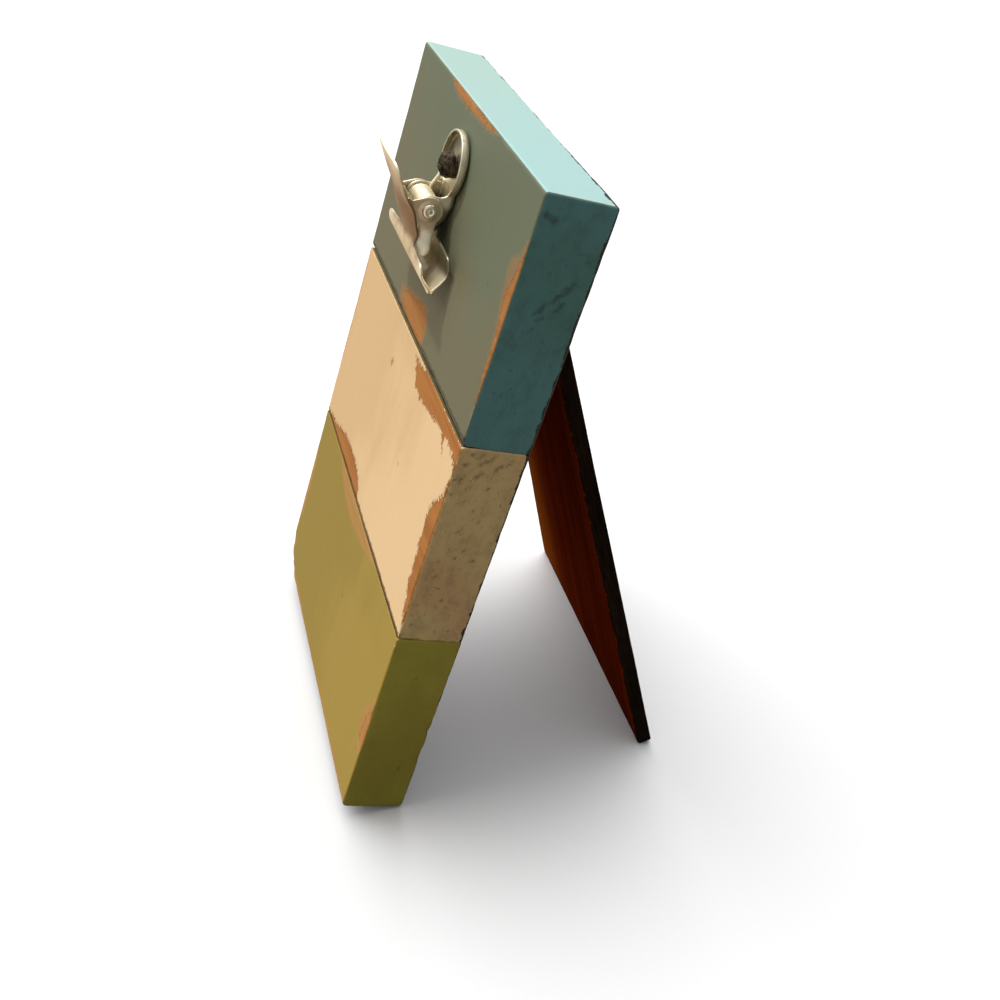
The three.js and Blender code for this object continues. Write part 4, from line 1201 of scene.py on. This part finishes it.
# Marks on the metal: their kind, their amount, and the smooth steps that bound them along some places. The kinds
# are dirt with painted shade, painted highlights, and brown tarnish with a painted reflection and painted shade.
# A ragged z is moved by lumps of a depth, size and seed.
LEVER_RAGGED = (2.6, 6, 21)
# Where the neck carries brown tarnish with a painted reflection
NECK_PAINTED_REFLECTION = [("ragged_z", 212, 217), ("ragged_z", 243, 228)]
PLATE_MARKS = [
    # Brown tarnish with a painted reflection over the neck
    ("tarnish_painted_reflection_and_shade", 0.85, NECK_PAINTED_REFLECTION),
    # Painted shade along the far edge of the tab
    ("tarnish_painted_reflection_and_shade", 0.8, [("x", -14.6, -15.6), ("ragged_z", 222, 228)]),
    # A painted highlight on the tab's tip
    ("painted_highlight", 0.9, [("ragged_z", 235, 242)]),
    # Painted highlights on the ends of the jaw
    ("painted_highlight", 0.9, [("across", 16, 27), ("ragged_z", 219, 216)]),
]
# A little of the neck's painted reflection, and a painted highlight on the tongues
EAR_MARKS = [("tarnish_painted_reflection_and_shade", 0.3, NECK_PAINTED_REFLECTION), ("painted_highlight", 1, [("ragged_z", 223, 220)])]
REAR_RAGGED = (1.2, 5, 33)
BOWL_RADIUS = HANDLE_BEND_RADIUS + BEND
BOWL_SLANT = 0.6
REAR_MARKS = [
    # Dirt and painted shade in the neck and the jaw, close to the board
    ("grime_and_painted_shade", 0.85, [("z", 231, 227), ("z", 208.5, 212.5), ("y", -7.6, -5.6)]),
    # Painted shade on the upper wall of the bowl
    ("grime_and_painted_shade", 0.6, [("radius", BOWL_RADIUS, BOWL_RADIUS - 0.15), ("slanted_z", HANDLE_Z + 2, HANDLE_Z + 8)]),
    # Painted highlights at both ends of the lip
    ("painted_highlight", 0.95, [("across", 20, 26), ("ragged_z", 212.5, 209.5)]),
]


def mark_amounts(points, ragged, marks):
    """The greatest amount of each kind of mark at each point."""
    depth, size, seed = ragged
    x, y, z = points.T
    places = {
        "x": x, "y": y, "z": z, "across": np.abs(x), "ragged_z": z + depth * lumps(points, size, seed),
        "radius": np.hypot(x, z - HANDLE_Z), "slanted_z": z - BOWL_SLANT * x,
    }
    amounts = {}
    for kind, amount, steps in marks:
        share = np.prod([smooth_step(places[name], *span) for name, *span in steps], 0)
        amounts[kind] = np.maximum(amounts.get(kind, 0), amount * share)
    return amounts


def make_lever():
    """The front plate: brown tarnish with a painted reflection over its neck, painted shade along its far edge,
    and painted highlights on its tip, its jaw ends and its tongues.
    """
    shape, plate_count = front_plate()
    piece = new_piece("clip_lever", *shape, BOARD, LEVER_NICKEL)
    points = local_points(piece, BOARD)
    on_plate = mark_amounts(points[:plate_count], LEVER_RAGGED, PLATE_MARKS)
    on_ears = mark_amounts(points[plate_count:], LEVER_RAGGED, EAR_MARKS)
    for kind, amounts in on_plate.items():
        keep(piece, kind, np.concatenate([amounts, on_ears[kind]]))
    return piece


def make_rear():
    """The back plate, with dirt and painted shade in its neck and its bowl, and painted highlights at both ends of
    its lip.
    """
    piece = new_piece("clip_rear", *back_plate(), BOARD, REAR_NICKEL)
    for kind, amounts in mark_amounts(local_points(piece, BOARD), REAR_RAGGED, REAR_MARKS).items():
        keep(piece, kind, amounts)
    return piece


def rivet():
    """A tubular rivet along x, with both ends rolled over and open."""
    low, high = node_box("clip_pin", BOARD)
    end, head = high[0], (high[2] - low[2]) / 2
    half = [(RIVET_SHANK, end - RIVET_ROLL[0][1])]
    half += [(head - inwards, end - back) for inwards, back in RIVET_ROLL]
    half += [(radius, end - back) for radius, back in RIVET_MOUTH]
    other = [(radius, -place) for radius, place in reversed(half)]
    points, faces = turned([*other, *half], RIVET_SIDES)
    return np.stack([points[:, 2], points[:, 0] - PIVOT_FRONT, points[:, 1] + PIVOT_Z], 1), faces


def screw_shape():
    """A crusted pan head on its shank, drawn out of the board."""
    crown = [(math.sin(a), math.cos(a)) for a in np.radians(np.linspace(2, 90, 22))]
    wall_top = SCREW_SEAT + SCREW_WALL
    profile = [(0, wall_top + SCREW_CROWN)]
    profile += [(SCREW_RADIUS * across, wall_top + SCREW_CROWN * up) for across, up in crown]
    profile += [(SCREW_RADIUS, height) for height in np.linspace(wall_top, SCREW_SEAT, 9)[1:]]
    points, faces = turned([*profile, *SCREW_SHANK], SCREW_SIDES)
    crust = sum(share * lumps(points, size, seed) for share, size, seed in CRUST_LUMPS) - CRUST_SINK
    crust *= CRUST_DEPTH * (points[:, 2] > CRUST_START)
    away = points - (0, 0, SCREW_SEAT)
    away /= np.linalg.norm(away, axis=1, keepdims=True)
    points = points + away * crust[:, None]
    return seated(np.stack([points[:, 0], -points[:, 2], points[:, 1]], 1)), faces


def seated(points):
    """Points of the screw, drawn straight out of the board, moved to where it sits askew."""
    turn = np.array(Matrix.Rotation(SCREW_TILT, 3, "X"))
    return (points + (0, SCREW_SEAT, 0)) @ turn.T + (0, -SCREW_SEAT - SCREW_LIFT, HANDLE_Z)


def slot_cutter():
    top = SCREW_SEAT + SCREW_WALL + SCREW_CROWN
    xs = np.linspace(-SLOT_HALF_LENGTH, SLOT_HALF_LENGTH, 3)
    ys = [-top - SLOT_OVERSHOOT, SLOT_DEPTH - top]
    points, faces = box_surface(xs, ys, [-SLOT_HALF_WIDTH, SLOT_HALF_WIDTH])
    turn = np.array(Matrix.Rotation(SLOT_TURN, 3, "Y"))
    return new_piece("cutter", seated(points @ turn.T), faces, BOARD, IRON)


def spring_path():
    """The wire: a bent back arm at low x, the coil round the pivot, and a straight front arm at high x."""
    down = (TAB_TIP_FRONT - PIVOT_FRONT) * math.sin(TAB_SLOPE) + (TAB_TIP_Z - PIVOT_Z) * math.cos(TAB_SLOPE)
    foot_front, foot_z = on_tab(down - FRONT_ARM_REACH)
    inward = SHEET / 2 + WIRE_RADIUS + ARM_GAP
    front_rise = foot_z + inward * math.sin(TAB_SLOPE) - PIVOT_Z
    front_out = foot_front - inward * math.cos(TAB_SLOPE) - PIVOT_FRONT
    back_rise, back_out = BACK_ARM_END
    start = math.atan2(back_out, back_rise) - BACK_ARM_OPENING
    opening = math.acos(COIL_RADIUS / math.hypot(front_rise, front_out))
    finish = math.atan2(front_out, front_rise) + opening
    sweep = (start - finish) % (2 * math.pi) + 2 * math.pi * COIL_FULL_TURNS
    count = round(sweep / (2 * math.pi) * STEPS_PER_TURN)
    angles = start - np.linspace(0, sweep, count + 1)
    x = np.linspace(-COIL_HALF_LENGTH, COIL_HALF_LENGTH, count + 1)
    coil = np.stack([x, COIL_RADIUS * np.cos(angles), COIL_RADIUS * np.sin(angles)], 1)
    back_arm = spaced([(-COIL_HALF_LENGTH, back_rise, back_out), coil[0]], ARM_SPACING)
    front_arm = spaced([coil[-1], (COIL_HALF_LENGTH, front_rise, front_out)], ARM_SPACING)
    path = np.concatenate([back_arm[:-1], coil, front_arm[1:]])
    bend = len(back_arm) - 1
    for _ in range(3):
        near = slice(bend - 2, bend + 3)
        path[near] = (path[bend - 3:bend + 2] + 2 * path[near] + path[bend - 1:bend + 4]) / 4
    return np.stack([path[:, 0], -PIVOT_FRONT - path[:, 2], PIVOT_Z + path[:, 1]], 1)


# Leg

def make_leg():
    points = node_points("easel_leg", LEG)
    low, high = points.min(0), points.max(0)
    foot_half = high[0]
    top_half = np.abs(points[points[:, 2] > high[2] - 1, 0]).max()
    shape, faces = box_surface(*map(graded, low, high))
    at_foot = smooth_step(shape[:, 2] - low[2], *EDGE_FADE)
    nicks = LEG_NICK_DEPTH * np.clip(lumps(shape, NICK_SIZE, LEG_NICK_SEED), 0, 1)
    rounding = LEG_ROUNDING + (LEG_FOOT_ROUNDING - LEG_ROUNDING) * at_foot + nicks
    shape, facing = eased(shape, low, high, np.stack([rounding] * 3, 1))
    shape -= facing * (LEG_WAVE_DEPTH * (1 + lumps(shape, WAVE_SIZE, LEG_WAVE_SEED)))[:, None]
    shape[:, 0] *= 1 + (top_half / foot_half - 1) * (shape[:, 2] - low[2]) / (high[2] - low[2])
    stop = (shape[:, 2] * math.sin(leg_open) - HINGE_TO_BACK) / math.cos(leg_open)
    shape[:, 1] = np.maximum(shape[:, 1], stop)
    piece = new_piece("stained_leg", shape, faces, LEG, LEG_STAIN)
    keep(piece, "facing", facing)
    x, y, z = shape.T
    half = foot_half - (foot_half - top_half) * (z - low[2]) / (high[2] - low[2])
    to_planes = np.stack([half - np.abs(x), y - low[1], high[1] - y, z - low[2], high[2] - z], 1)
    keep(piece, "edge", np.sort(np.abs(to_planes), 1)[:, 1])
    return piece


# The object: pieces on their bodies

def place_piece(piece, body, node):
    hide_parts(node)
    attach(piece, body)


for block, slot in BLOCK_SLOTS.items():
    place_piece(make_block(block), "board", block)

place_piece(make_rear(), "board", "clip_back_plate")
place_piece(make_lever(), "clip_front", "clip_front_plate")
place_piece(new_piece("clip_rivet", *rivet(), BOARD, RIVET_NICKEL), "board", "clip_pin")

screw = new_piece("clip_screw_head", *screw_shape(), BOARD, IRON)
cut(screw, slot_cutter())
keep_local(screw, BOARD)
screw.data.set_sharp_from_angle(angle=SCREW_SHARP)
place_piece(screw, "board", "clip_screw")

spring = new_piece("clip_coil", *tube(spring_path(), WIRE_RADIUS, WIRE_SIDES), BOARD, SPRING_STEEL)
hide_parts("clip_spring")
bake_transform(spring)

place_piece(make_leg(), "leg", "easel_leg")

for name, node in frame["nodes"].items():
    if name.startswith("dowel") or name.startswith("hinge"):
        node.data.materials.clear()
        node.data.materials.append(DOWEL_WOOD if name.startswith("dowel") else BRASS)


# Stage

def sun(name, strength, angle, towards):
    lamp = bpy.data.lights.new(name, "SUN")
    lamp.energy = strength * math.pi
    lamp.angle = math.radians(angle)
    holder = add_object(name, lamp)
    holder.rotation_euler = towards.to_track_quat("Z", "Y").to_euler()
    return holder


def share(lamp, floor, state):
    """Keeps a lamp off the floor, or on the floor alone."""
    lit = bpy.data.collections.new("lit_by_" + lamp.name)
    lit.objects.link(floor)
    lamp.light_linking.receiver_collection = lit
    lit.collection_objects[0].light_linking.link_state = state


def make_floor():
    mesh = bpy.data.meshes.new("floor")
    corners = [(x * FLOOR_HALF_WIDTH, y * FLOOR_HALF_WIDTH, FLOOR_LEVEL)
               for x, y in ((-1, -1), (1, -1), (1, 1), (-1, 1))]
    mesh.from_pydata(corners, [], [(0, 1, 2, 3)])
    mesh.materials.append(floor_paper())
    floor = add_object("floor", mesh)
    return floor


def make_world():
    world = bpy.data.worlds.new("studio")
    world.use_nodes = True
    bpy.context.scene.world = world
    nodes, links = world.node_tree.nodes, world.node_tree.links
    rays = nodes.new("ShaderNodeLightPath").outputs
    light = nodes["Background"]
    light.inputs["Color"].default_value = (1, 1, 1, 1)
    light.inputs["Strength"].default_value = FILL
    for ray, strength in (("Is Glossy Ray", MIRRORED_FILL), ("Is Transmission Ray", 1), ("Is Camera Ray", 1)):
        seen = nodes.new("ShaderNodeBackground")
        seen.inputs["Color"].default_value = (1, 1, 1, 1)
        seen.inputs["Strength"].default_value = strength
        mix = nodes.new("ShaderNodeMixShader")
        links.new(rays[ray], mix.inputs[0])
        links.new(light.outputs[0], mix.inputs[1])
        links.new(seen.outputs[0], mix.inputs[2])
        light = mix
    links.new(light.outputs[0], nodes["World Output"].inputs["Surface"])


def make_camera():
    lens = bpy.data.cameras.new("camera")
    lens.lens = LENS
    lens.sensor_width = SENSOR
    lens.clip_start = CLIP_START
    camera = add_object("camera", lens)
    camera.location = CAMERA_PLACE
    camera.rotation_euler = [math.radians(turn) for turn in CAMERA_TURN]
    bpy.context.scene.camera = camera


floor = make_floor()
share(sun("crisp_light", CRISP_LIGHT, CRISP_ANGLE, TO_LIGHT), floor, "EXCLUDE")
share(sun("soft_light", SOFT_LIGHT, SOFT_ANGLE, TO_LIGHT), floor, "EXCLUDE")
share(sun("floor_light", FLOOR_LIGHT, SOFT_ANGLE, TO_FLOOR_LIGHT), floor, "INCLUDE")
make_world()
make_camera()
bpy.context.scene.view_settings.view_transform = "Standard"
